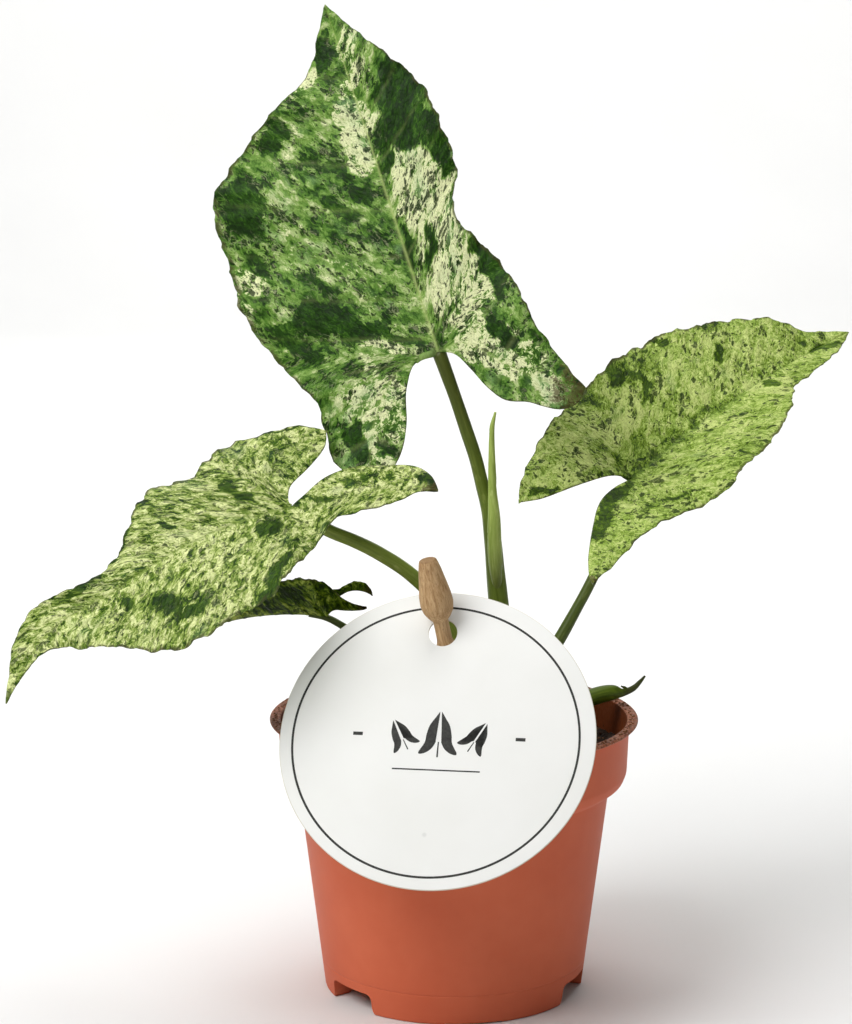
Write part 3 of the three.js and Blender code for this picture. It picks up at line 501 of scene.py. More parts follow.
def stalk_material(name, low, high, streak):
    """Fleshy stalk with long fine streaks. Y of its attribute flow runs along it."""
    shader = Shader(name)
    flow = shader.attribute("flow", "Vector")
    streaks = shader.noise(shader.scaled(flow, (1, 0.05, 1)), 1.6, 4, 0.6)
    mottle = shader.noise(shader.scaled(flow, (1, 0.3, 1), (5, 5, 5)), 0.35, 4, 0.6)
    color = shader.ramp(streaks, (0.32, low), (0.62, high), (0.8, streak))
    color = shader.paint(color, streak, shader.step(mottle, 0.55, 0.75))
    # A dark olive-brown where the attribute shade says: painted shade at the tall stalk's top; on the
    # shoots their own browner tips, scale and foot; on the crown, darker towards the soil.
    color = shader.paint(color, (46, 42, 20), shader.attribute("shade"))
    return shader.finish(color, 0.42, 0.2, shader.relief((streaks, 0.35, 0.15)))


def pot_material():
    """Terracotta-coloured moulded plastic, with a grainy lip, and inside a dark brown that is soil dust
    and painted shade.
    """
    shader = Shader("pot_plastic")
    place = shader.place()
    lip, inside = shader.attribute("lip"), shader.attribute("inside")
    cloud = shader.noise(place, 28, 4, 0.6)
    grain = shader.noise(place, 900, 3, 0.6)
    flow = shader.noise(shader.scaled(place, (1, 1, 0.12)), 160, 3, 0.5)
    grit = shader.step(grain, 0.42, 0.62)
    pits = shader.step(shader.noise(place, 1000, 2, 0.5), 0.48, 0.58)
    dust = shader.math("MULTIPLY_ADD", shader.step(cloud, 0.35, 0.65), 0.12, 0.86)
    specks = shader.step(shader.noise(place, 520, 2, 0.5), 0.68, 0.74)
    color = shader.ramp(cloud, (0.3, (202, 97, 65)), (0.7, (212, 109, 76)))
    color = shader.paint(color, (218, 122, 92), flow, 0.18)
    color = shader.paint(color, (146, 86, 58), lip, 0.85)
    color = shader.paint(color, (184, 142, 114), shader.times(grit, lip), 0.5)
    color = shader.paint(color, (92, 54, 34), shader.times(pits, lip), 0.7)
    # Inside the wall a dark brown: soil dust, and painted shade inside the pot.
    color = shader.paint(color, (108, 50, 14), shader.times(dust, inside))
    color = shader.paint(color, (48, 32, 24), shader.times(specks, inside))
    height = shader.node("SeparateXYZ", {0: place}).outputs["Z"]
    from_seam = shader.math("ABSOLUTE", shader.math("SUBTRACT", height, POT_SEAM * MM))
    normal = shader.relief(
        (grain, 0.16, 0.12), (shader.times(grain, lip), 0.6, 0.5), (flow, 0.1, 0.3),
        (shader.step(from_seam, 0.0, 0.5 * MM), 0.5, 0.3),
    )
    rough = shader.math("MULTIPLY_ADD", cloud, 0.12, 0.46)
    return shader.finish(color, rough, 0.14, normal)


def soil_material():
    """Dark moist peat with brown fibres."""
    shader = Shader("potting_soil")
    place = shader.place()
    cloud = shader.noise(place, 90, 5, 0.7)
    fibres = shader.noise(shader.scaled(place, (1, 0.2, 1)), 700, 3, 0.6)
    color = shader.ramp(cloud, (0.3, (26, 18, 14)), (0.55, (52, 38, 29)), (0.8, (86, 64, 46)))
    color = shader.paint(color, (112, 82, 56), shader.step(fibres, 0.62, 0.7))
    crumbs = shader.cells(place, 620).outputs["Distance"]
    return shader.finish(color, 0.95, 0.2, shader.relief((crumbs, 0.9, 1.2), (cloud, 0.8, 1.5)))


def clod_material():
    """Bits of peat and bark in browns, and paler dust on the pot's lip."""
    shader = Shader("peat_clods")
    place = shader.place()
    patches = shader.noise(place, 260, 3, 0.6)
    fine = shader.noise(place, 1500, 3, 0.6)
    color = shader.ramp(
        patches, (0.32, (24, 17, 13)), (0.5, (54, 38, 28)), (0.64, (84, 58, 40)),
        (0.78, (128, 98, 70)),
    )
    color = shader.paint(color, (132, 90, 62), shader.attribute("dust"), 0.75)
    return shader.finish(color, 0.92, 0.2, shader.relief((fine, 0.8, 0.4)))


def card_material():
    """Coated white card, warmer at its cut edges, with a faint grey smudge low on its face.

    Its attribute plane is (across, up, out of the face) from the card's centre.
    """
    shader = Shader("card_board")
    place = shader.place()
    plane = shader.attribute("plane", "Vector")

    def distance(across, up):
        return shader.length(shader.scaled(plane, (1, 1, 0), (-across, -up, 0)))

    radius, hole_radius = CARD["radius"], CARD["hole_radius"]
    cloud = shader.noise(place, 40, 3, 0.5)
    fibre = shader.noise(place, 1500, 3, 0.6)
    rim = shader.step(distance(0, 0), radius - 0.3, radius - 0.12)
    hole = distance(CARD["hole_across"], CARD["hole_up"])
    hole = shader.step(hole, hole_radius + 0.12, hole_radius + 0.02)
    color = shader.ramp(cloud, (0.3, (229, 229, 225)), (0.7, (233, 233, 230)))
    color = shader.paint(color, (150, 152, 148), shader.step(distance(*SMUDGE), 1.0, 0.3), 0.22)
    color = shader.paint(color, (206, 200, 184), shader.math("MAXIMUM", rim, hole))
    return shader.finish(color, 0.62, 0.25, shader.relief((fibre, 0.06, 0.05)))


def ink_material():
    """Matt black print, a little uneven as on coated card."""
    shader = Shader("print_ink")
    cover = shader.noise(shader.place(), 900, 3, 0.6)
    return shader.finish(shader.ramp(cover, (0.3, (30, 30, 28)), (0.8, (58, 58, 54))), 0.6, 0.3)


def stake_material():
    """Bare turned wood: long grain along the stake, with darker end grain on the head."""
    shader = Shader("stake_wood")
    flow = shader.attribute("flow", "Vector")
    grain = shader.noise(shader.scaled(flow, (1, 1, 0.09)), 1.1, 5, 0.65, 0.6)
    pores = shader.noise(shader.scaled(flow, (1, 1, 0.16), (9, 2, 5)), 3.4, 3, 0.7)
    color = shader.ramp(grain, (0.3, (140, 104, 68)), (0.48, (178, 143, 100)), (0.7, (203, 172, 130)))
    color = shader.paint(color, (112, 80, 50), shader.step(pores, 0.55, 0.66), 0.6)
    color = shader.paint(color, (128, 98, 64), shader.attribute("end"))
    return shader.finish(color, 0.68, 0.3, shader.relief((pores, 0.4, 0.25), (grain, 0.25, 0.25)))


def backdrop_material():
    shader = Shader("backdrop_paper")
    cloud = shader.noise(shader.place(), 3, 2, 0.5)
    return shader.finish(shader.ramp(cloud, (0.3, (228, 228, 227)), (0.7, (232, 232, 231))), 0.9)


# ---------------------------------------------------------------- meshes

def mesh_object(name, points, faces):
    mesh = bpy.data.meshes.new(name)
    mesh.from_pydata(np.asarray(points, float).tolist(), [], [list(map(int, face)) for face in faces])
    made = bpy.data.objects.new(name, mesh)
    bpy.context.scene.collection.objects.link(made)
    return made


def make_piece(name, points, faces, material, node=None, attributes=None, sharp=0, smooth=True):
    """A piece from points in millimetres, riding on the one body. Edges over sharp degrees stay sharp."""
    piece = mesh_object(name, np.asarray(points, float) * MM, faces)
    mesh = piece.data
    for key, values in (attributes or {}).items():
        values = np.asarray(values, float)
        vector = values.ndim == 2
        made = mesh.attributes.new(key, "FLOAT_VECTOR" if vector else "FLOAT", "POINT")
        made.data.foreach_set("vector" if vector else "value", values.ravel())
    mesh.materials.append(material)
    mesh.polygons.foreach_set("use_smooth", [smooth] * len(mesh.polygons))
    if sharp:
        mesh.set_sharp_from_angle(angle=math.radians(sharp))
    mesh.update()
    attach(piece, "root")
    if node:
        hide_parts(node)


def join_parts(parts):
    """Several (points, faces, attributes) as one. A part without an attribute gets zeros."""
    points, faces, offset = [], [], 0
    names = {key: values for _, _, attributes in parts for key, values in attributes.items()}
    merged = {key: [] for key in names}
    for part_points, part_faces, attributes in parts:
        count = len(part_points)
        points.append(np.asarray(part_points, float))
        faces += [tuple(i + offset for i in face) for face in part_faces]
        offset += count
        for key, example in names.items():
            blank = np.zeros((count,) + np.shape(example)[1:])
            merged[key].append(np.asarray(attributes.get(key, blank), float))
    return np.concatenate(points), faces, {key: np.concatenate(v) for key, v in merged.items()}


def ring_faces(rings, sides):
    """Quads between rings of points that are listed ring by ring."""
    faces = []
    for low in range(0, (rings - 1) * sides, sides):
        for j in range(sides):
            k = (j + 1) % sides
            faces.append((low + j, low + k, low + sides + k, low + sides + j))
    return faces


def closed_faces(rings, sides):
    """Faces of a closed skin: its rings, and a fan to each of the two end points listed after them."""
    faces = ring_faces(rings, sides)
    start, last_ring = rings * sides, (rings - 1) * sides
    for j in range(sides):
        k = (j + 1) % sides
        faces += [(start, k, j), (start + 1, last_ring + j, last_ring + k)]
    return faces


# ---------------------------------------------------------------- curves

def unit(vector):
    return np.asarray(vector, float) / np.linalg.norm(vector)


def polar(radius, angle):
    return radius * math.cos(angle), radius * math.sin(angle)


def arc(radius, start, end, steps):
    return [polar(radius, angle) for angle in np.linspace(start, end, steps)]


def circle(radius, sides):
    return arc(radius, 0, 2 * math.pi * (sides - 1) / sides, sides)


def rectangle(x, y, half_width, half_height):
    return [
        (x - half_width, y - half_height), (x + half_width, y - half_height),
        (x + half_width, y + half_height), (x - half_width, y + half_height),
    ]


def quadratic(start, control, end, steps=6):
    w = np.linspace(0, 1, steps)[:, None]
    start, control, end = (np.array(p, float) for p in (start, control, end))
    return list((1 - w) ** 2 * start + 2 * w * (1 - w) * control + w ** 2 * end)


def smooth_step(values, low, high):
    share = np.clip((np.asarray(values, float) - low) / (high - low), 0, 1)
    return share * share * (3 - 2 * share)


def catmull(points, t, open_ends=False):
    """Points of a uniform Catmull-Rom spline at shares t. Open ends are extended straight on."""
    p = np.asarray(points, float)
    last = len(p) - 1
    first_extra = 2 * p[0] - p[1] if open_ends else p[0]
    last_extra = 2 * p[-1] - p[-2] if open_ends else p[-1]
    padded = np.vstack([first_extra, p, last_extra, last_extra])
    at = np.clip(np.asarray(t, float), 0, 1) * last
    i = np.minimum(np.floor(at).astype(int), last - 1)
    w = (at - i)[:, None]
    p0, p1, p2, p3 = (padded[i + k] for k in range(4))
    return 0.5 * (2 * p1 + (p2 - p0) * w + (2 * p0 - 5 * p1 + 4 * p2 - p3) * w ** 2
                  + (3 * p1 - p0 - 3 * p2 + p3) * w ** 3)


def running_length(points):
    steps = np.linalg.norm(np.diff(points, axis=0), axis=1)
    return np.concatenate([[0], np.cumsum(steps)])


ARC_STEPS = 200


def by_length(points, shares):
    """Points of a flat spline at shares of its length, and its length."""
    t = np.linspace(0, 1, ARC_STEPS + 1)
    length = running_length(catmull(points, t))
    return catmull(points, np.interp(np.asarray(shares) * length[-1], length, t)), length[-1]


def sheath(turns, share, depth, start, end, winding):
    """How far a rolled sheath stands out round a stalk: it falls off slowly from its free edge."""
    fade = smooth_step(share, start, start + 0.08) * (1 - smooth_step(share, end - 0.12, end))
    return depth * (1 - (turns + winding * share) % 1.0) ** 1.5 * fade


def tube(run, sides, rings, wrap=None, ridges=0.0):
    """A round bar along a smooth run of [x, y, z, radius], closed by its two end points.

    wrap: (depth, start share, end share, turns) of a sheath whose free edge winds round the bar.
    ridges: depth of fine lengthwise ridges, as a share of the radius. The attribute flow is
    (across, along, across) and follows the bar.
    """
    run = np.asarray(run, float)
    t = np.linspace(0, 1, rings + 1)
    centers = catmull(run[:, :3], t, open_ends=True)
    radii = catmull(run[:, 3:], t)[:, 0]
    tangents = np.gradient(centers, axis=0)
    tangents /= np.linalg.norm(tangents, axis=1)[:, None]
    length = running_length(centers)
    turns = np.arange(sides) / sides
    cos, sin = np.cos(2 * np.pi * turns), np.sin(2 * np.pi * turns)
    ridged = 1 + ridges * np.sin(2 * np.pi * turns * round(sides / 3))
    normal = unit(np.cross(tangents[0], (0.2, 1, 0.1)))
    points, flow = [], []
    for i, (center, tangent) in enumerate(zip(centers, tangents)):
        normal = unit(normal - tangent * normal.dot(tangent))
        outwards = np.outer(cos, normal) + np.outer(sin, np.cross(tangent, normal))
        radius = radii[i] * ridged + (sheath(turns, t[i], *wrap) if wrap else 0)
        points.append(center + radius[:, None] * outwards)
        flow.append(np.stack([radii[i] * cos, np.full(sides, length[i]), radii[i] * sin], axis=1))
    points += [centers[0], centers[-1]]
    flow += [(0, length[0], 0), (0, length[-1], 0)]
    return np.vstack(points), closed_faces(rings + 1, sides), {"flow": np.vstack(flow)}


# ---------------------------------------------------------------- leaf blades

LOBE_ROWS, BLADE_ROWS = 36, 104
OUTER_STEPS, INNER_STEPS = 34, 12
BLADE_HALF_THICKNESS = (0.3, 0.16)  # inside, and at the margin
SIDE_VEINS = (0.04, 0.15, 0.27, 0.4, 0.53, 0.66, 0.79, 0.9)
LOBE_VEINS = (0.3, 0.55, 0.8)
VEIN_START = 6  # how far from the midrib the mottling turns to run along the side veins


def blade_frame(leaf):
    sinus = np.array(leaf["sinus"], float)
    along = np.array(leaf["tip"], float) - sinus
    length = np.linalg.norm(along)
    along /= length
    face = unit(leaf["facing"])
    face = unit(face - along * face.dot(along))
    return sinus, along, np.cross(along, face), face, length


def midrib_bend(leaf, share):
    return leaf["bend"] * np.sin(np.pi * np.clip((share - 0.6) / 0.4, 0, 1))


def blade_height(leaf, length, a, t):
    """Height over the blade's plane, a across and t along from the sinus: a V along the midrib,
    drooping halves and a bowed midrib."""
    share = t / length
    m = a - midrib_bend(leaf, share)
    width = leaf["fold_width"]

    def pick(key):
        return np.where(m > 0, leaf["right"][key], leaf["left"][key])

    fold = pick("fold") * (np.hypot(m, width) - width)
    droop = pick("droop") * m * m / length
    bow = 4 * leaf["bow"] * length * np.clip(share, 0, 1) * (1 - np.clip(share, 0, 1.2))
    back = np.maximum(0, -t)
    return fold - droop + bow - pick("lobe_droop") * back * back / length


def graded(count):
    """Shares from 0 to 1, closer together at both ends."""
    t = np.linspace(0, 1, count + 1)
    return 0.45 * t + 0.55 * (0.5 - 0.5 * np.cos(np.pi * t))


def vein_distance(rows, u, veins, skeleton, margin):
    """Distance in millimetres to the nearest side vein; the veins arch towards the tip."""
    gaps = [np.abs(rows[:, None] - start - 0.035 * u * u) for start in veins]
    return np.min(gaps, axis=0) * ((1 - u) * skeleton + u * margin)


def margin_nicks(shares, side, margin_length):
    """How far the margin is nicked in, at shares of its length."""
    nicks = 0.36 * np.sin(97 * shares + 5 * side) + 0.26 * np.sin(171 * shares + 2)
    nicks += 0.13 * np.sin(397 * shares + side)
    return (0.45 + nicks) * np.sin(np.pi * shares) ** 0.5 * min(1.0, margin_length / 120)


def margin_waves(ripple, shares, u):
    """Height of the margin's waves and of the finer frill on them, from the skeleton out."""
    height, count, phase = ripple
    swell = height * np.sqrt(np.abs(np.sin(np.pi * shares)))
    turns = 2 * np.pi * count * shares
    wave = np.sin(turns + phase) * swell
    frill = 0.3 * np.sin(3.7 * turns + 2 * phase) * swell
    frill += 0.16 * np.sin(8.3 * turns + 3 * phase) * swell
    return wave[:, None] * u ** 2 + frill[:, None] * u ** 5


def blade_grid(roots, edges, u, flow_along, side, lift, gap):
    """Flat points at shares u of the way from their roots to an edge, as half_grids lists them."""
    flat = roots[:, None, :] + (edges - roots)[:, None, :] * u[None, :, None]
    out = np.linalg.norm(edges - roots, axis=1)[:, None] * u
    every = 0 * out
    values = [flat[..., 0], flat[..., 1], flow_along[:, None] + every, side * out, u + every]
    return np.stack(values + [lift, gap, out], axis=-1)


def half_grids(leaf, half, length, side):
    """One half of a blade as two grids of flat points: out to its margin, and in the lobe in to
    the margin between the lobes. Each point is (across, along, flow along, flow out, edge share,
    lift, distance to a side vein, distance to the skeleton)."""
    lobe = np.linspace(0, 1, LOBE_ROWS + 1)
    blade = np.linspace(0, 1, BLADE_ROWS + 1)[1:]
    shoulder, lobe_tip, sinus = half["shoulder"], half["lobe_tip"], (0, 0)
    vein_points, vein_length = by_length([lobe_tip, *half["vein"], sinus], lobe)
    inner_points, _ = by_length([lobe_tip, *half["inner"], sinus], lobe)
    midrib = np.stack([midrib_bend(leaf, blade), length * blade], axis=1)
    roots = np.vstack([vein_points, midrib])
    shares = np.concatenate([shoulder * lobe, shoulder + (1 - shoulder) * blade])
    edges, margin_length = by_length([lobe_tip, *half["outer"]], shares)
    inward = roots - edges
    inward /= np.maximum(np.linalg.norm(inward, axis=1)[:, None], 1e-6)
    edges = edges + inward * margin_nicks(shares, side, margin_length)[:, None]
    flow_along = np.concatenate([-vein_length * (1 - lobe), length * blade])
    lobe_span = (vein_length, margin_length * shoulder)
    blade_span = (length, margin_length * (1 - shoulder))

    u = graded(OUTER_STEPS)
    gap = np.vstack([
        vein_distance(lobe, u, LOBE_VEINS, *lobe_span), vein_distance(blade, u, SIDE_VEINS, *blade_span),
    ])
    lift = margin_waves(half["ripple"], shares, u)
    outer = blade_grid(roots, edges, u, flow_along, side, lift, gap)
    u = graded(INNER_STEPS)
    gap = vein_distance(lobe, u, LOBE_VEINS, *lobe_span)
    inner = blade_grid(vein_points, inner_points, u, flow_along[:len(lobe)], -side, 0 * gap, gap)
    return outer, inner


def weld(grid, known, rows):
    """The index of each point of a grid among the rows so far; points that are new are added."""
    index = np.zeros(grid.shape[:2], int)
    for i, j in np.ndindex(index.shape):
        key = (round(grid[i, j, 0], 3), round(grid[i, j, 1], 3))
        if key not in known:
            known[key] = len(rows)
            rows.append(grid[i, j])
        index[i, j] = known[key]
    return index


def grid_triangles(index, flip):
    triangles = []
    for i, j in np.ndindex(index.shape[0] - 1, index.shape[1] - 1):
        near, far = index[i, j:j + 2], index[i + 1, j:j + 2]
        for p, q, r in ((near[0], near[1], far[1]), (near[0], far[1], far[0])):
            if len({p, q, r}) == 3:
                triangles.append((p, r, q) if flip else (p, q, r))
    return triangles


def flat_blade(leaf, length):
    """The blade's flat points, without doubles, and its triangles, which face up."""
    known, rows, triangles = {}, [], []
    for half, side in ((leaf["left"], -1), (leaf["right"], 1)):
        outer, inner = half_grids(leaf, half, length, side)
        for grid, flip in ((outer, side < 0), (inner, side > 0)):
            triangles += grid_triangles(weld(grid, known, rows), flip)
    return np.array(rows), np.array(triangles)


def vertex_normals(points, triangles):
    a, b, c = (points[triangles[:, k]] for k in range(3))
    face_normals = np.cross(b - a, c - a)
    normals = np.zeros_like(points)
    for k in range(3):
        np.add.at(normals, triangles[:, k], face_normals)
    return normals / np.maximum(np.linalg.norm(normals, axis=1)[:, None], 1e-12)


def margin_edges(triangles):
    """The edges that only one triangle has."""
    edges = {(int(t[k]), int(t[(k + 1) % 3])) for t in triangles for k in range(3)}
    return sorted(edge for edge in edges if (edge[1], edge[0]) not in edges)


def patch_tone(patches, a, t):
    """Tone of the mottling at flat points: the sum of soft streaks, from -1 dark to 1 cream."""
    total = np.zeros(len(a))
    drift_a = 1.1 * np.sin(0.42 * t + 0.3 * a) + 0.6 * np.sin(0.9 * a - 0.7 * t + 1.3)
    drift_t = 1.1 * np.sin(0.38 * a - 0.25 * t + 2.1) + 0.6 * np.sin(0.8 * t + 0.75 * a)
    a, t = a + drift_a, t + drift_t
    for a1, t1, a2, t2, half_width, tone in patches:
        direction = np.array([a2 - a1, t2 - t1], float)
        reach = max(direction.dot(direction), 1e-9)
        share = np.clip(((a - a1) * direction[0] + (t - t1) * direction[1]) / reach, 0, 1)
        distance = np.hypot(a - a1 - share * direction[0], t - t1 - share * direction[1])
        weight = 1 - smooth_step(distance / half_width, 0.3, 1.6)
        total = np.where(np.abs(tone) * weight > np.abs(total), tone * weight, total)
    return total


def dryness(tips, a, t):
    """How dry flat points are near the lobes' tips, 0 to 1. Each tip is (across, along, reach)."""
    total = np.zeros(len(a))
    for tip_a, tip_t, reach in tips:
        total = np.maximum(total, 1 - np.hypot(a - tip_a, t - tip_t) / reach)
    return total


class Blade:
    """A leaf's blade: what half_grids lists for each of its points, and how the veins lie.

    ribs and side_veins are 1 on the midrib and lobe veins, and on the side veins.
    """

    def __init__(self, leaf, look):
        self.leaf = leaf
        self.look = look
        self.sinus, self.along, self.across, self.face, self.length = blade_frame(leaf)
        rows, self.triangles = flat_blade(leaf, self.length)
        self.a, self.t, self.flow_along, self.flow_out, self.edge, self.lift, self.gap, out = rows.T
        from_midrib = np.abs(self.a - midrib_bend(leaf, self.t / self.length))
        self.from_rib = np.where(self.flow_along >= 0, from_midrib, out)
        self.lobe_fade = np.where(self.flow_along < 0, 0.4, 1.0)
        self.reach = np.abs(self.flow_along) / self.length
        rib_width = 0.9 - 0.55 * np.clip(self.reach, 0, 1)
        self.ribs = np.exp(-(self.from_rib / rib_width) ** 2)
        side_veins = np.exp(-(self.gap / 0.55) ** 2) * (1 - self.edge) ** 0.5
        self.side_veins = side_veins * smooth_step(self.edge, 0.0, 0.06)

    def relief(self):
        """Sunk veins, and a skin that swells and blisters between them."""
        look, edge, along, out = self.look, self.edge, self.flow_along, self.flow_out
        puff = (1 - np.exp(-(self.gap / 3.2) ** 2)) * np.sin(np.pi * np.clip(edge, 0, 1)) ** 0.7
        blisters = np.sin(1.05 * along + 1.3 * np.sin(0.5 * out)) * np.sin(0.8 * out + 0.6)
        blisters += 0.6 * np.sin(0.62 * along - 0.9 * out + 1.1)
        blisters *= look["blister"] * smooth_step(self.from_rib, 0.5, 4) * (1 - edge ** 6)
        swollen = look["relief"] * (0.5 * puff - 0.28 * self.side_veins)
        return self.lobe_fade * (swollen - 0.22 * self.ribs) + blisters

    def middle(self):
        """Points of the surface half way through the blade."""
        height = blade_height(self.leaf, self.length, self.a, self.t) + self.lift + self.relief()
        values = np.stack([self.t, self.a, height], axis=1)
        return self.sinus + values @ np.stack([self.along, self.across, self.face])

    def skin(self):
        """A closed thin skin, thinner at the margin and thicker under the veins."""
        middle = self.middle()
        normals = vertex_normals(middle, self.triangles)
        inside, at_margin = BLADE_HALF_THICKNESS
        half = inside + (at_margin - inside) * smooth_step(self.edge, 0.93, 1)
        rib = self.look["rib_depth"] * np.clip(1 - self.reach, 0.12, 1)
        below = half + rib * np.exp(-(self.from_rib / 1.25) ** 2) + 0.12 * self.side_veins
        count = len(middle)
        faces = [tuple(face) for face in self.triangles]
        faces += [(p + count, r + count, q + count) for p, q, r in self.triangles]
        for start, end in margin_edges(self.triangles):
            faces += [(start, start + count, end + count), (start, end + count, end)]
        return np.vstack([middle + half[:, None] * normals, middle - below[:, None] * normals]), faces

    def attributes(self, patches):
        """What the leaf's material reads, on the upper side and then on the lower one."""
        look, a, t, out = self.look, self.a, self.t, self.flow_out
        drawn_along = self.flow_along - look["slant"] * np.hypot(out, VEIN_START)
        upper = {
            "flow": np.stack([drawn_along, out, np.full(len(a), look["seed"])], axis=1),
            "tone": patch_tone(patches, a, t),
            "edge": self.edge,
            "dry": dryness(look["dry"], a, t),
            "vein": np.maximum(self.ribs ** 2 * self.lobe_fade, look["side_veins"] * self.side_veins),
        }
        both = {key: np.concatenate([values, values]) for key, values in upper.items()}
        return {**both, "under": np.repeat([0.0, 1.0], len(a))}


def tuck_under(points, leaf, gap):
    """Moves the points of a stalk's end that would stand in a blade to just under it."""
    sinus, along, across, face, length = blade_frame(leaf)
    local = points - sinus
    a, t, h = local @ across, local @ along, local @ face
    limit = blade_height(leaf, length, a, t) - gap
    near = smooth_step(t, -1, 0.2) * (t < 30) * (np.abs(a) < 8)
    over = np.maximum(0, h - limit) * near
    return points - over[:, None] * face


# ---------------------------------------------------------------- pot and soil

POT_SIDES = 216
FLOOR_TOP = POT["floor_underside"] + POT["floor_thickness"]
SOIL_RINGS, SOIL_SIDES = 110, 220
CLODS, LIP_CRUMBS, FIBRES = 620, 420, 70


def pot_wall(height):
    return POT["foot_radius"] + POT["taper"] * height


def pot_inside():
    """The inside of the wall, from the floor up to the mouth, as (radius, height)."""
    wall, shoulder = POT["wall"], POT["shoulder"]
    bottom, radius = POT["collar_bottom"], POT["collar_radius"]
    return [
        (pot_wall(FLOOR_TOP) - wall - 1.4, FLOOR_TOP),
        (pot_wall(FLOOR_TOP + 1.6) - wall, FLOOR_TOP + 1.6),
        (pot_wall(shoulder) - wall, shoulder + 0.4), (pot_wall(shoulder) + 1.4, shoulder + 2),
        (radius - wall - 0.7, bottom - 2.4), (radius - wall, bottom + 0.6),
    ]


def pot_profile():
    height, radius, foot = POT["height"], POT["foot_radius"], POT["foot_depth"]
    under, shoulder = POT["floor_underside"], POT["shoulder"]
    bottom, collar = POT["collar_bottom"], POT["collar_radius"]
    lip, mouth, lip_foot = POT["lip_radius"], POT["mouth_radius"], height - POT["lip_thickness"]
    return [
        (0, under), (radius - foot - 1, under), (radius - foot, under - 1), (radius - foot, 0),
        (radius, 0), (pot_wall(12), 12), (pot_wall(shoulder), shoulder),
        (pot_wall(shoulder) + 2.3, shoulder + 1.3), (collar - 1.3, bottom - 4),
        (collar - 0.2, bottom - 1.2), (collar + 0.5, lip_foot), (lip - 0.5, lip_foot + 0.1),
        (lip, lip_foot + 0.5), (lip, height - 0.4), (lip - 0.4, height),
        (mouth + 0.5, height), (mouth, height - 0.5), *reversed(pot_inside()), (0, FLOOR_TOP),
    ]


def rounded(profile, radius, steps=4):
    """A profile with its corners rounded; a short side's corners get less."""
    p = np.array(profile, float)
    out = [p[0]]
    for before, corner, after in zip(p, p[1:], p[2:]):
        back, ahead = before - corner, after - corner
        reach = min(radius, 0.42 * np.linalg.norm(back), 0.42 * np.linalg.norm(ahead))
        out += quadratic(corner + unit(back) * reach, corner, corner + unit(ahead) * reach, steps)
    return np.array([*out, p[-1]])


def lathe(profile, sides):
    """A closed profile of (radius, height), from axis to axis, turned about +Z."""
    angles = 2 * np.pi * np.arange(sides) / sides
    ring = np.stack([np.cos(angles), np.sin(angles)], axis=1)
    rings = [np.column_stack([radius * ring, np.full(sides, z)]) for radius, z in profile[1:-1]]
    points = np.vstack([*rings, (0, 0, profile[0][1]), (0, 0, profile[-1][1])])
    return points, closed_faces(len(rings), sides)


def extruded(outline, low, high):
    """A prism over a flat outline of (x, y), listed anticlockwise."""
    count = len(outline)
    points = [(x, y, low) for x, y in outline] + [(x, y, high) for x, y in outline]
    faces = [tuple(reversed(range(count))), tuple(range(count, 2 * count))]
    return np.array(points, float), faces + ring_faces(2, count)


def at_bearing(points, degrees):
    """Turns points drawn at the front of the pot to a bearing, in degrees from -Y."""
    cos, sin = polar(1, math.radians(degrees))
    x, y, z = points.T
    return np.stack([x * cos - y * sin, x * sin + y * cos, z], axis=1)


def notch_tool():
    """The gap between two feet: small corners at the top, flared where it meets the ground."""
    half, height = NOTCH["width"] / 2, NOTCH["height"]
    corner, flare, depth = NOTCH["corner"], NOTCH["flare"], NOTCH["depth"]
    right = quadratic((half + flare, -1), (half, -0.5), (half, flare))
    right += quadratic((half, height - corner), (half, height), (half - corner, height))
    left = [np.array([-x, z]) for x, z in reversed(right)]
    points, faces = extruded(right + left, 0, depth)
    x, z, y = points.T
    return np.stack([x, y - POT["foot_radius"] - 4, z], 1), [tuple(reversed(f)) for f in faces]


def foot_hollow_tool():
    """The hollow in the underside of a foot, which leaves a wall all round."""
    outer = POT["foot_radius"] - POT["foot_wall"]
    inner = POT["foot_radius"] - POT["foot_depth"] + POT["foot_wall"]
    reach = math.pi / POT["feet"] - math.asin((NOTCH["width"] / 2 + 2.5 * POT["foot_wall"]) / inner)
    front = -math.pi / 2
    outline = arc(outer, front - reach, front + reach, 26) + arc(inner, front + reach, front - reach, 26)
    return extruded(outline, -1, POT["floor_underside"] - 1)


def relief_tool():
    """The shallow cut that lifts the middle of a foot off the ground."""
    outline = rectangle(0, 0, HEEL_RELIEF["width"] / 2, HEEL_RELIEF["depth"] / 2)
    points, faces = extruded(outline, -HEEL_RELIEF["height"], HEEL_RELIEF["height"])
    return points - (0, POT["foot_radius"], 0), faces


def drain_tool():
    points, faces = extruded(circle(DRAIN_HOLE["radius"], 32), FLOOR_TOP - 4, FLOOR_TOP + 4)
    return points - (0, DRAIN_HOLE["from_axis"], 0), faces


def pot_tools():
    """What is cut from the turned pot, at each foot and at the notch beside it."""
    tools = []
    for i in range(POT["feet"]):
        foot = POT["front_foot_bearing"] + 360 / POT["feet"] * i
        notch = foot + 180 / POT["feet"]
        bearings = (notch, foot, foot, notch)
        shapes = (notch_tool(), foot_hollow_tool(), relief_tool(), drain_tool())
        tools += [(at_bearing(points, at), faces) for at, (points, faces) in zip(bearings, shapes)]
    return tools


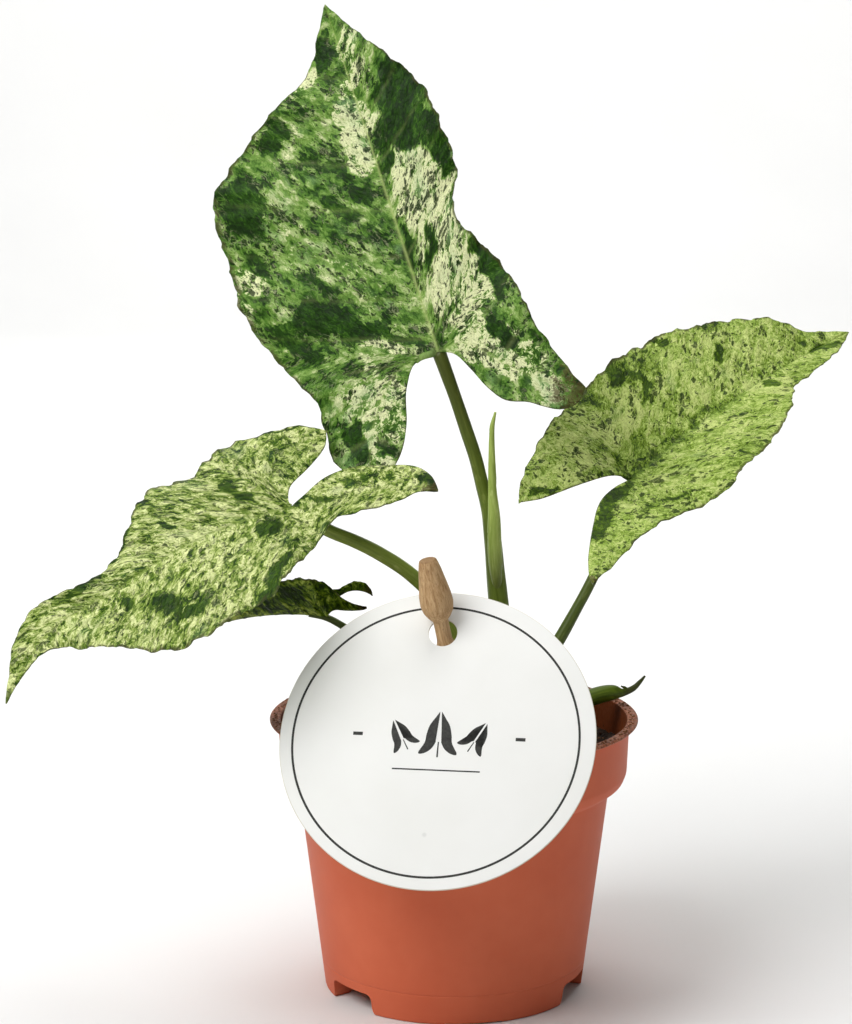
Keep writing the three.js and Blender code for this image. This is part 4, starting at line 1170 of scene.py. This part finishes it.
def cut_mesh(points, faces, tools):
    """Points and faces of a mesh after the tools' shapes are taken from it."""
    whole, *cutters = [mesh_object("cut", *shape) for shape in [(points, faces), *tools]]
    for cutter in cutters:
        modifier = whole.modifiers.new("cut", "BOOLEAN")
        modifier.operation = "DIFFERENCE"
        modifier.solver = "EXACT"
        modifier.object = cutter
    graph = bpy.context.evaluated_depsgraph_get()
    result = bpy.data.meshes.new_from_object(whole.evaluated_get(graph))
    cut_points = np.array([vertex.co[:] for vertex in result.vertices])
    cut_faces = [tuple(face.vertices) for face in result.polygons]
    for made in (whole, *cutters):
        bpy.data.objects.remove(made)
    return cut_points, cut_faces


def build_pot():
    points, faces = lathe(rounded(pot_profile(), 0.8), POT_SIDES)
    points, faces = cut_mesh(points, faces, pot_tools())
    radius = np.hypot(points[:, 0], points[:, 1])
    z = points[:, 2]
    wall = pot_inside() + [(POT["mouth_radius"], POT["height"])]
    wall_radii, wall_heights = np.array(wall).T
    inside = (radius < np.interp(z, wall_heights, wall_radii) + 0.35) & (z > FLOOR_TOP - 0.2)
    attributes = {
        "inside": (inside & (z < POT["height"] - 0.6)).astype(float),
        "lip": smooth_step(z, POT["height"] - 1.4, POT["height"] - 0.6),
    }
    make_piece("nursery_pot", points, faces, pot_material(), "pot", attributes, sharp=40)


def soil_height(x, y):
    """Height of the soil: it rises to the crown, with clods and dips."""
    crown_x, crown_y = CROWN[2][:2]
    from_crown = np.hypot(x - crown_x, y - crown_y) / SOIL["mound_reach"]
    clods = (np.sin(0.31 * x + 1.3) * np.cos(0.27 * y - 0.4) + 0.6 * np.sin(0.63 * x - 0.52 * y)
             + 0.4 * np.cos(0.9 * y + 0.35 * x))
    mound = SOIL["mound"] * (np.exp(-from_crown ** 2) - 0.5)
    return SOIL["level"] + mound + SOIL["roughness"] * clods


def soil_grain(x, y, ripples=40):
    """Fine unevenness of the soil, from ripples that cross one another."""
    limits = ((0.04, 0.16), (-2.6, 2.6), (-2.6, 2.6), (0, 6.28))
    draws = [random.uniform(low, high, ripples) for low, high in limits]
    return sum(size * np.sin(fx * x + fy * y + phase) for size, fx, fy, phase in zip(*draws))


def build_soil():
    """A disc of peat with a granular top, filling the pot from its floor."""
    side = [(radius - CLEARANCE, height + CLEARANCE) for radius, height in pot_inside()]
    edge = side[-1][0]
    steps = np.sqrt(np.linspace(1, 0, SOIL_RINGS, endpoint=False))
    top = [(edge * step, SOIL["level"]) for step in steps]
    points, faces = lathe([(0, side[0][1]), *side, *top, (0, SOIL["level"])], SOIL_SIDES)
    on_top = points[:, 2] > SOIL["level"] - 0.01
    x, y = points[on_top, 0], points[on_top, 1]
    fade = np.clip((edge - np.hypot(x, y)) / 2, 0, 1)
    points[on_top, 2] = soil_height(x, y) + soil_grain(x, y) * fade
    make_piece("potting_soil", points, faces, soil_material(), "soil")


def lump(radius, flat):
    """A small uneven clod as points and faces."""
    made = bmesh.new()
    bmesh.ops.create_icosphere(made, subdivisions=1, radius=1.0)
    points = np.array([vertex.co[:] for vertex in made.verts])
    faces = [tuple(vertex.index for vertex in face.verts) for face in made.faces]
    made.free()
    points *= radius * random.uniform(0.7, 1.3, (len(points), 1))
    points[:, 2] *= flat
    return points, faces


def loose_clod(edge):
    """A clod that lies on the soil, turned any way."""
    radius = min(float(random.gamma(2.2, 0.36)) + 0.35, 2.3)
    reach = (edge - radius - 0.6) * math.sqrt(random.uniform(0, 1))
    x, y = polar(reach, random.uniform(0, 2 * math.pi))
    points, faces = lump(radius, random.uniform(0.55, 0.9))
    turn = Matrix.Rotation(random.uniform(0, 6.28), 3, Vector(unit(random.normal(size=3))))
    return points @ np.array(turn).T + (x, y, float(soil_height(x, y)) + 0.15 * radius), faces, {}


def lip_crumb():
    """A crumb of dusty soil on the pot's lip."""
    radius = random.uniform(0.2, 0.5)
    reach = random.uniform(POT["mouth_radius"] + 0.6, POT["lip_radius"] - 0.8)
    x, y = polar(reach, random.uniform(0, 2 * math.pi))
    points, faces = lump(radius, 0.7)
    return points + (x, y, POT["height"] + 0.1 * radius), faces, {"dust": np.ones(len(points))}


def loose_fibre(edge):
    """A short bent fibre that lies on the soil."""
    middle = polar((edge - 7) * math.sqrt(random.uniform(0, 1)), random.uniform(0, 6.28))
    heading = random.uniform(0, 6.28)
    length = random.uniform(2.5, 9)
    run = []
    for step in np.linspace(-0.5, 0.5, 5):
        x, y = np.add(middle, polar(length * step, heading + step))
        run.append((x, y, float(soil_height(x, y)) + random.uniform(0.3, 1.0), 0.16 - 0.1 * abs(step)))
    points, faces, _ = tube(run, 6, 8)
    return points, faces, {}


def build_clods():
    """Loose clods and short fibres lying on the soil, and crumbs on the pot's lip."""
    edge = pot_inside()[-1][0] - CLEARANCE
    parts = [loose_clod(edge) for _ in range(CLODS)]
    parts += [lip_crumb() for _ in range(LIP_CRUMBS)]
    parts += [loose_fibre(edge) for _ in range(FIBRES)]
    points, faces, attributes = join_parts(parts)
    make_piece("soil_clods", points, faces, clod_material(), attributes=attributes)


# ---------------------------------------------------------------- card and stake

PRINT_SUNK, PRINT_RAISED = 0.02, 0.03
PRINT_RING = dict(radius=44.2, width=0.7, center=(-0.5, -0.6), sides=240)
LEAF_OUTLINE = [  # right half of a drawn arrow leaf, from its tip to the sinus
    (0, 8.6), (1.5, 6.2), (3.3, 3.2), (4.2, -0.4), (4.6, -3.4), (6.6, -7.4), (4.4, -7.4), (2.0, -5.6),
    (0.7, -3.2),
]
LEAF_STALK = [(-0.22, -3.0), (-0.3, -8.8), (0.3, -8.8), (0.22, -3.0)]
LEAF_GAP = 0.28  # half the width of a drawn leaf's bare midrib
LEAF_MARKS = [((0.6, 1.2), 0.86, 0.0), ((-11.2, 0.6), 0.62, 0.5), ((12.4, 0.6), 0.62, -0.5)]
BAR_MARKS = [(-24.5, 0.4, 3.0, 1.1), (25.7, 0.4, 3.0, 1.1), (0.6, -10.6, 27, 0.45)]


def card_frame():
    """The card's frame: right across it, up along it, out of its printed face, and its centre."""
    lean, turn = math.radians(CARD["lean_back"]), math.radians(CARD["turn"])
    right = np.array([math.cos(turn), math.sin(turn), 0])
    up = np.array([-math.sin(lean) * math.sin(turn), math.sin(lean) * math.cos(turn), math.cos(lean)])
    return right, up, np.cross(right, up), np.array(CARD["center"], float)


def on_card(points):
    """Points of the card's own frame, (across, up, out of the face), in space."""
    right, up, face, center = card_frame()
    return center + np.asarray(points, float) @ np.stack([right, up, face])


def build_card():
    radius, half = CARD["radius"], CARD["thickness"] / 2
    profile = [(0, -half), (radius, -half), (radius, half), (0, half)]
    points, faces = lathe(rounded(profile, 0.28, 5), 192)
    hole, hole_faces = extruded(circle(CARD["hole_radius"], 64), -2, 2)
    hole += (CARD["hole_across"], CARD["hole_up"], 0)
    points, faces = cut_mesh(points, faces, [(hole, hole_faces)])
    placed, values = on_card(points), {"plane": points}
    make_piece("round_card", placed, faces, card_material(), "plant_card", values, sharp=50)


def printed(outline):
    """A thin raised print over a flat outline on the card's face."""
    face = CARD["thickness"] / 2
    points, faces = extruded(outline, face - PRINT_SUNK, face + PRINT_RAISED)
    return on_card(points), faces, {}


def printed_ring():
    """The thin ring, as a strip that closes on itself."""
    half, sides = PRINT_RING["width"] / 2, PRINT_RING["sides"]
    inner, outer = PRINT_RING["radius"] - half, PRINT_RING["radius"] + half
    low, high = CARD["thickness"] / 2 - PRINT_SUNK, CARD["thickness"] / 2 + PRINT_RAISED
    section = [(inner, low), (outer, low), (outer, high), (inner, high)]
    points = []
    for k in range(sides):
        for radius, height in section:
            x, y = np.add(PRINT_RING["center"], polar(radius, 2 * math.pi * k / sides))
            points.append((x, y, height))
    faces = [tuple(i % len(points) for i in face) for face in ring_faces(sides + 1, len(section))]
    return on_card(points), faces, {}


def leaf_mark(center, size, turn):
    """Two halves of a drawn arrow leaf, parted by a bare midrib, and its stalk."""
    gap = LEAF_GAP / size
    smooth = catmull(LEAF_OUTLINE, np.linspace(0, 1, 48))
    right = [(x + gap, y) for x, y in smooth[::-1]] + [(gap, -2.6), (gap, 7.6)]
    left = [(-x, y) for x, y in right[::-1]]
    cos, sin = size * math.cos(turn), size * math.sin(turn)
    return [
        printed([(center[0] + x * cos - y * sin, center[1] + x * sin + y * cos) for x, y in outline])
        for outline in (right, left, LEAF_STALK)
    ]


def build_print():
    """A plain ring, and three drawn leaves between two dashes over a thin rule."""
    parts = [printed_ring()]
    for center, size, turn in LEAF_MARKS:
        parts += leaf_mark(center, size, turn)
    for x, y, width, height in BAR_MARKS:
        parts.append(printed(rectangle(x, y, width / 2, height / 2)))
    points, faces, _ = join_parts(parts)
    make_piece("card_print", points, faces, ink_material(), smooth=False)


def build_stake():
    """A turned stake; its head stands over the card, its point is in the soil."""
    right, up, _, center = card_frame()
    origin = center + right * CARD["hole_across"] + up * (CARD["hole_up"] + STAKE_UPHILL)
    top, bottom = STAKE_PROFILE[0][0], STAKE_PROFILE[-1][0]
    side = [(radius, along) for along, radius in reversed(STAKE_PROFILE)]
    profile = [(0, bottom - 1), *side, (0, top)]
    dense = [profile[0]]
    for start, end in zip(profile, profile[1:]):
        count = max(1, int((end[1] - start[1]) / 4))
        dense += list(np.linspace(start, end, count + 1)[1:])
    points, faces = lathe(rounded(dense, 0.5), 56)
    x, y, z = points.T
    turn = np.arctan2(y, x)
    wobble = 1 + 0.008 * np.sin(3 * turn + 0.4 * z) + 0.006 * np.sin(2 * turn - 0.13 * z)
    axis = Vector((0, 0, 1)).rotation_difference(Vector(STAKE_LEAN).normalized()).to_matrix()
    placed = np.stack([x * wobble, y * wobble, z], axis=1) @ np.array(axis).T + origin
    values = {"flow": points, "end": 0.7 * smooth_step(z, top - 0.5, top - 0.05)}
    make_piece("turned_stake", placed, faces, stake_material(), "card_stake", values, sharp=45)


# ---------------------------------------------------------------- the plant

# Colours are sRGB, and lengths on a blade are in millimetres.
# palette: dark, deep, mid, light and cream greens, then the veins' colour. stops: where the first
# five lie on the mottling's scale. shift, grain: its middle, and the weights of tone and of large,
# medium, small and tiny noise. ragged: how far medium, small and tiny noise frays the streaks.
# bright, solid_at: how strong the flecked cream areas are, and at which tone areas turn solid dark.
# clump, fine: scales of the medium noise, and of the small one. stretch: scale of all finer marks
# out from the midrib. slant, warp: how far marks lean along the side veins, and wander.
# spots, spot_mix: (scale, level, crowding) of the dark spots, and how strong they are.
# mesh, threads, sheen: scale and strength of the pale threads, and the colour of the painted sheen.
# vein_mix, side_veins, under: how far veins and underside take on their own colour.
# rough, crinkle, gloss: fine bumps, larger ones, and shine. relief, blister, rib_depth: how far the
# skin swells between its veins, its blisters, and the midrib's thickness. seed: its own noise.
# dry: withered tips as (across, along, reach).
LOOKS = {
    "tall": dict(
        palette=[(18, 44, 2), (44, 81, 14), (86, 128, 44), (130, 165, 78), (228, 233, 180),
                 (174, 190, 114)],
        stops=(0.2, 0.34, 0.46, 0.6, 0.84), shift=0.5, grain=(0.3, 0.95, 0.85, 0.26, 0.1),
        ragged=(1.0, 0.5, 0.2), bright=0.95, solid_at=-0.28,
        clump=(1, 0.8, 1), fine=0.8, stretch=0.9, slant=0.3, warp=1.8,
        spots=[(0.5, 0.06, 1.8), (1.0, 0.04, 1.5)], spot_mix=0.9,
        mesh=0.3, threads=0.2, sheen=(146, 178, 132), vein_mix=0.6, side_veins=0.3, under=0.35,
        rough=0.4, crinkle=0.9, gloss=0.1, relief=0.6, blister=0.16, rib_depth=1.0, seed=0,
        dry=[(42, -29, 16)],
    ),
    "left": dict(
        palette=[(22, 50, 2), (60, 92, 12), (112, 140, 46), (166, 184, 98), (226, 234, 164),
                 (120, 142, 60)],
        stops=(0.26, 0.36, 0.46, 0.56, 0.72), shift=0.54, grain=(0.4, 0.45, 0.95, 0.9, 0.45),
        ragged=(0.9, 0.5, 0.2), bright=0.4, solid_at=-0.34,
        clump=(1, 0.7, 1), fine=0.65, stretch=0.62, slant=0.45, warp=2.0,
        spots=[(0.5, -0.04, 1.2), (0.95, 0.02, 1.0)], spot_mix=0.75,
        mesh=0.34, threads=0.25, sheen=(96, 130, 96), vein_mix=0.6, side_veins=0.4, under=0.35,
        rough=0.9, crinkle=1.8, gloss=0.14, relief=1.0, blister=0.3, rib_depth=0.9, seed=31,
        dry=[(-31, -37, 9)],
    ),
    "right": dict(
        # Its vein colour, last in the palette, is darker than its mid green: partly the veins' own
        # colour, partly painted shade in the midrib's groove.
        palette=[(34, 56, 1), (68, 96, 10), (114, 142, 42), (154, 179, 82), (194, 208, 124),
                 (92, 120, 42)],
        stops=(0.2, 0.32, 0.45, 0.58, 0.74), shift=0.57, grain=(0.42, 0.45, 0.6, 0.65, 0.5),
        ragged=(0.8, 0.4, 0.2), bright=0.3, solid_at=-0.4,
        clump=(1, 0.7, 1), fine=0.75, stretch=0.85, slant=0.35, warp=1.8,
        spots=[(0.36, -0.02, 1.2), (0.75, 0.02, 1.2)], spot_mix=0.9,
        mesh=0.34, threads=0.25, sheen=(98, 130, 84), vein_mix=0.5, side_veins=0.45, under=0.35,
        rough=0.55, crinkle=1.4, gloss=0.08, relief=1.0, blister=0.24, rib_depth=0.9, seed=64,
        dry=[(29, -51, 5)],
    ),
    "small": dict(
        palette=[(20, 38, 0), (44, 68, 2), (78, 102, 10), (112, 134, 38), (150, 166, 70), (80, 100, 28)],
        stops=(0.24, 0.36, 0.48, 0.6, 0.72), shift=0.49, grain=(0.34, 0.6, 0.9, 0.9, 0.4),
        ragged=(0.7, 0.5, 0.2), bright=0.3, solid_at=-0.4,
        clump=(1, 0.7, 1), fine=0.8, stretch=0.8, slant=0.4, warp=1.2,
        spots=[(0.7, -0.02, 0.7)], spot_mix=0.8,
        mesh=0.5, threads=0.0, sheen=(80, 100, 60), vein_mix=0.5, side_veins=0.0, under=0.0,
        rough=0.5, crinkle=0.6, gloss=0.05, relief=0.3, blister=0.1, rib_depth=0.5, seed=97,
        dry=[(-2.4, -14, 5), (3.6, -15.4, 5)],
    ),
}

# The leaf stalks: low, high and streak colours, and the run, sides, rings and wrap that tube takes.
STALKS = {
    "tall": ((84, 100, 26), (104, 122, 42), (130, 143, 64),
             TALL_STALK, 32, 190, (0.55, -0.2, 0.52, 0.35)),
    "left": ((104, 120, 44), (126, 142, 60), (150, 160, 86),
             LEFT_STALK, 26, 170, (0.5, -0.2, 0.26, 0.3)),
    "right": ((70, 86, 30), (88, 102, 42), (114, 124, 66),
              RIGHT_STALK, 26, 150, (0.4, -0.2, 0.3, 0.3)),
    "small": ((66, 80, 34), (88, 102, 50), (112, 120, 74),
              SMALL_STALK, 20, 120, (0.25, -0.2, 0.25, 0.3)),
}


def build_leaves():
    for name, leaf in LEAVES.items():
        piece = f"leaf_{name}"
        look = LOOKS[name]
        blade = Blade(leaf, look)
        points, faces = blade.skin()
        values = blade.attributes(PATCHES[name])
        material = leaf_material(piece, look)
        make_piece(piece, points, faces, material, f"blade_{name}", values, sharp=60)


def build_stalks():
    for name, (low, high, streak, *shape) in STALKS.items():
        points, faces, values = tube(*shape, ridges=0.012)
        points = tuck_under(points, LEAVES[name], 0.25)
        if name == "tall":
            # Painted shade: the tall stalk turns darker towards its top, under the leaves.
            values["shade"] = 0.62 * smooth_step(points[:, 2], 150, 200)
        material = stalk_material(f"stalk_{name}", low, high, streak)
        make_piece(f"leafstalk_{name}", points, faces, material, f"stalk_{name}", values)


def build_rolled_leaf():
    points, faces, values = tube(NEW_LEAF, 24, 120, (0.22, -0.2, 1.2, 2.2))
    values["shade"] = 0.55 * (1 - smooth_step(points[:, 2], 131, 148))
    material = stalk_material("new_leaf", (132, 154, 64), (164, 182, 94), (190, 204, 124))
    make_piece("rolled_leaf", points, faces, material, "new_leaf", values)


def build_side_shoot():
    """A swollen sheath with a dark thin tip, and a dry scale at the tip's foot."""
    body = tube(SIDE_SHOOT, 26, 130, (0.4, -0.2, 0.72, 0.5), ridges=0.015)
    body[2]["shade"] = 0.75 * smooth_step(body[0][:, 0], 54, 57.5)
    scale = tube(SHOOT_SCALE, 12, 14)
    scale[2]["shade"] = np.full(len(scale[0]), 0.6)
    points, faces, values = join_parts([body, scale])
    material = stalk_material("side_shoot", (66, 84, 18), (90, 110, 28), (122, 138, 52))
    make_piece("side_shoot_sheath", points, faces, material, "side_shoot", values)


def build_crown():
    points, faces, values = tube(CROWN, 32, 100, (0.5, 0.4, 1.2, 1.1), ridges=0.015)
    values["shade"] = 0.6 * (1 - smooth_step(points[:, 2], 79, 84))
    material = stalk_material("crown_stem", (92, 96, 50), (112, 112, 64), (134, 128, 84))
    make_piece("crown", points, faces, material, "crown_stem", values)


# ---------------------------------------------------------------- stage, light and camera

STAGE = dict(flat=2000, bend=900, top=2200, rings=12, sides=160)
LIGHTS = [  # place and aim in metres, size, power
    ("key", (-0.76, -0.6, 1.14), (0, 0, 0.14), 0.95, 17.2),
    ("fill", (0.3, -1.4, 0.6), (0, 0, 0.14), 0.8, 0.25),
    ("top", (0.1, 0.1, 1.3), (0, 0, 0.14), 1.0, 7.5),
    ("backdrop_wash", (0, 0.9, 1.5), (0, 2.4, 0.1), 1.6, 26),
    ("backdrop_top_wash", (0, 1.6, 1.4), (0, 3, 0.6), 1.4, 10),
]
WORLD_LIGHT = 0.03
CAMERA = dict(place=(-0.0091, -0.840, 0.308), tilt=79.85, lens=93.16, sensor=36)


def build_stage():
    """A round pale floor whose rim curves up into a wall, so every side has the same backdrop."""
    flat, bend, sides = STAGE["flat"], STAGE["bend"], STAGE["sides"]
    profile = [(flat * k / STAGE["rings"], 0) for k in range(1, STAGE["rings"])]
    profile += [(flat + x, bend + z) for x, z in arc(bend, -math.pi / 2, 0, 30)]
    profile.append((flat + bend, STAGE["top"]))
    angles = [2 * math.pi * k / sides for k in range(sides)]
    points = [(0, 0, 0)] + [(*polar(radius, angle), z) for radius, z in profile for angle in angles]
    rings = [tuple(i + 1 for i in reversed(face)) for face in ring_faces(len(profile), sides)]
    middle = [(0, 1 + k, 1 + (k + 1) % sides) for k in range(sides)]
    floor = mesh_object("backdrop", np.array(points) * MM, rings + middle)
    floor.data.polygons.foreach_set("use_smooth", [True] * len(floor.data.polygons))
    floor.data.materials.append(backdrop_material())


def build_lights():
    for name, place, aim, size, power in LIGHTS:
        light = bpy.data.lights.new(name, "AREA")
        light.shape = "DISK"
        light.size = size
        light.energy = power
        made = bpy.data.objects.new(name, light)
        made.location = place
        made.rotation_euler = (Vector(aim) - Vector(place)).to_track_quat("-Z", "Y").to_euler()
        bpy.context.scene.collection.objects.link(made)
    world = bpy.data.worlds.new("soft_white")
    world.use_nodes = True
    background = world.node_tree.nodes["Background"]
    background.inputs["Color"].default_value = (1, 1, 1, 1)
    background.inputs["Strength"].default_value = WORLD_LIGHT
    bpy.context.scene.world = world


def build_camera():
    data = bpy.data.cameras.new("camera")
    data.sensor_width = CAMERA["sensor"]
    data.lens = CAMERA["lens"]
    data.clip_start = 0.01
    camera = bpy.data.objects.new("camera", data)
    camera.location = CAMERA["place"]
    camera.rotation_euler = (math.radians(CAMERA["tilt"]), 0, 0)
    bpy.context.scene.collection.objects.link(camera)
    bpy.context.scene.camera = camera


build_camera()
build_pot()
build_soil()
build_clods()
build_card()
build_print()
build_stake()
build_leaves()
build_stalks()
build_rolled_leaf()
build_side_shoot()
build_crown()
build_stage()
build_lights()
bpy.context.scene.view_settings.view_transform = "Standard"
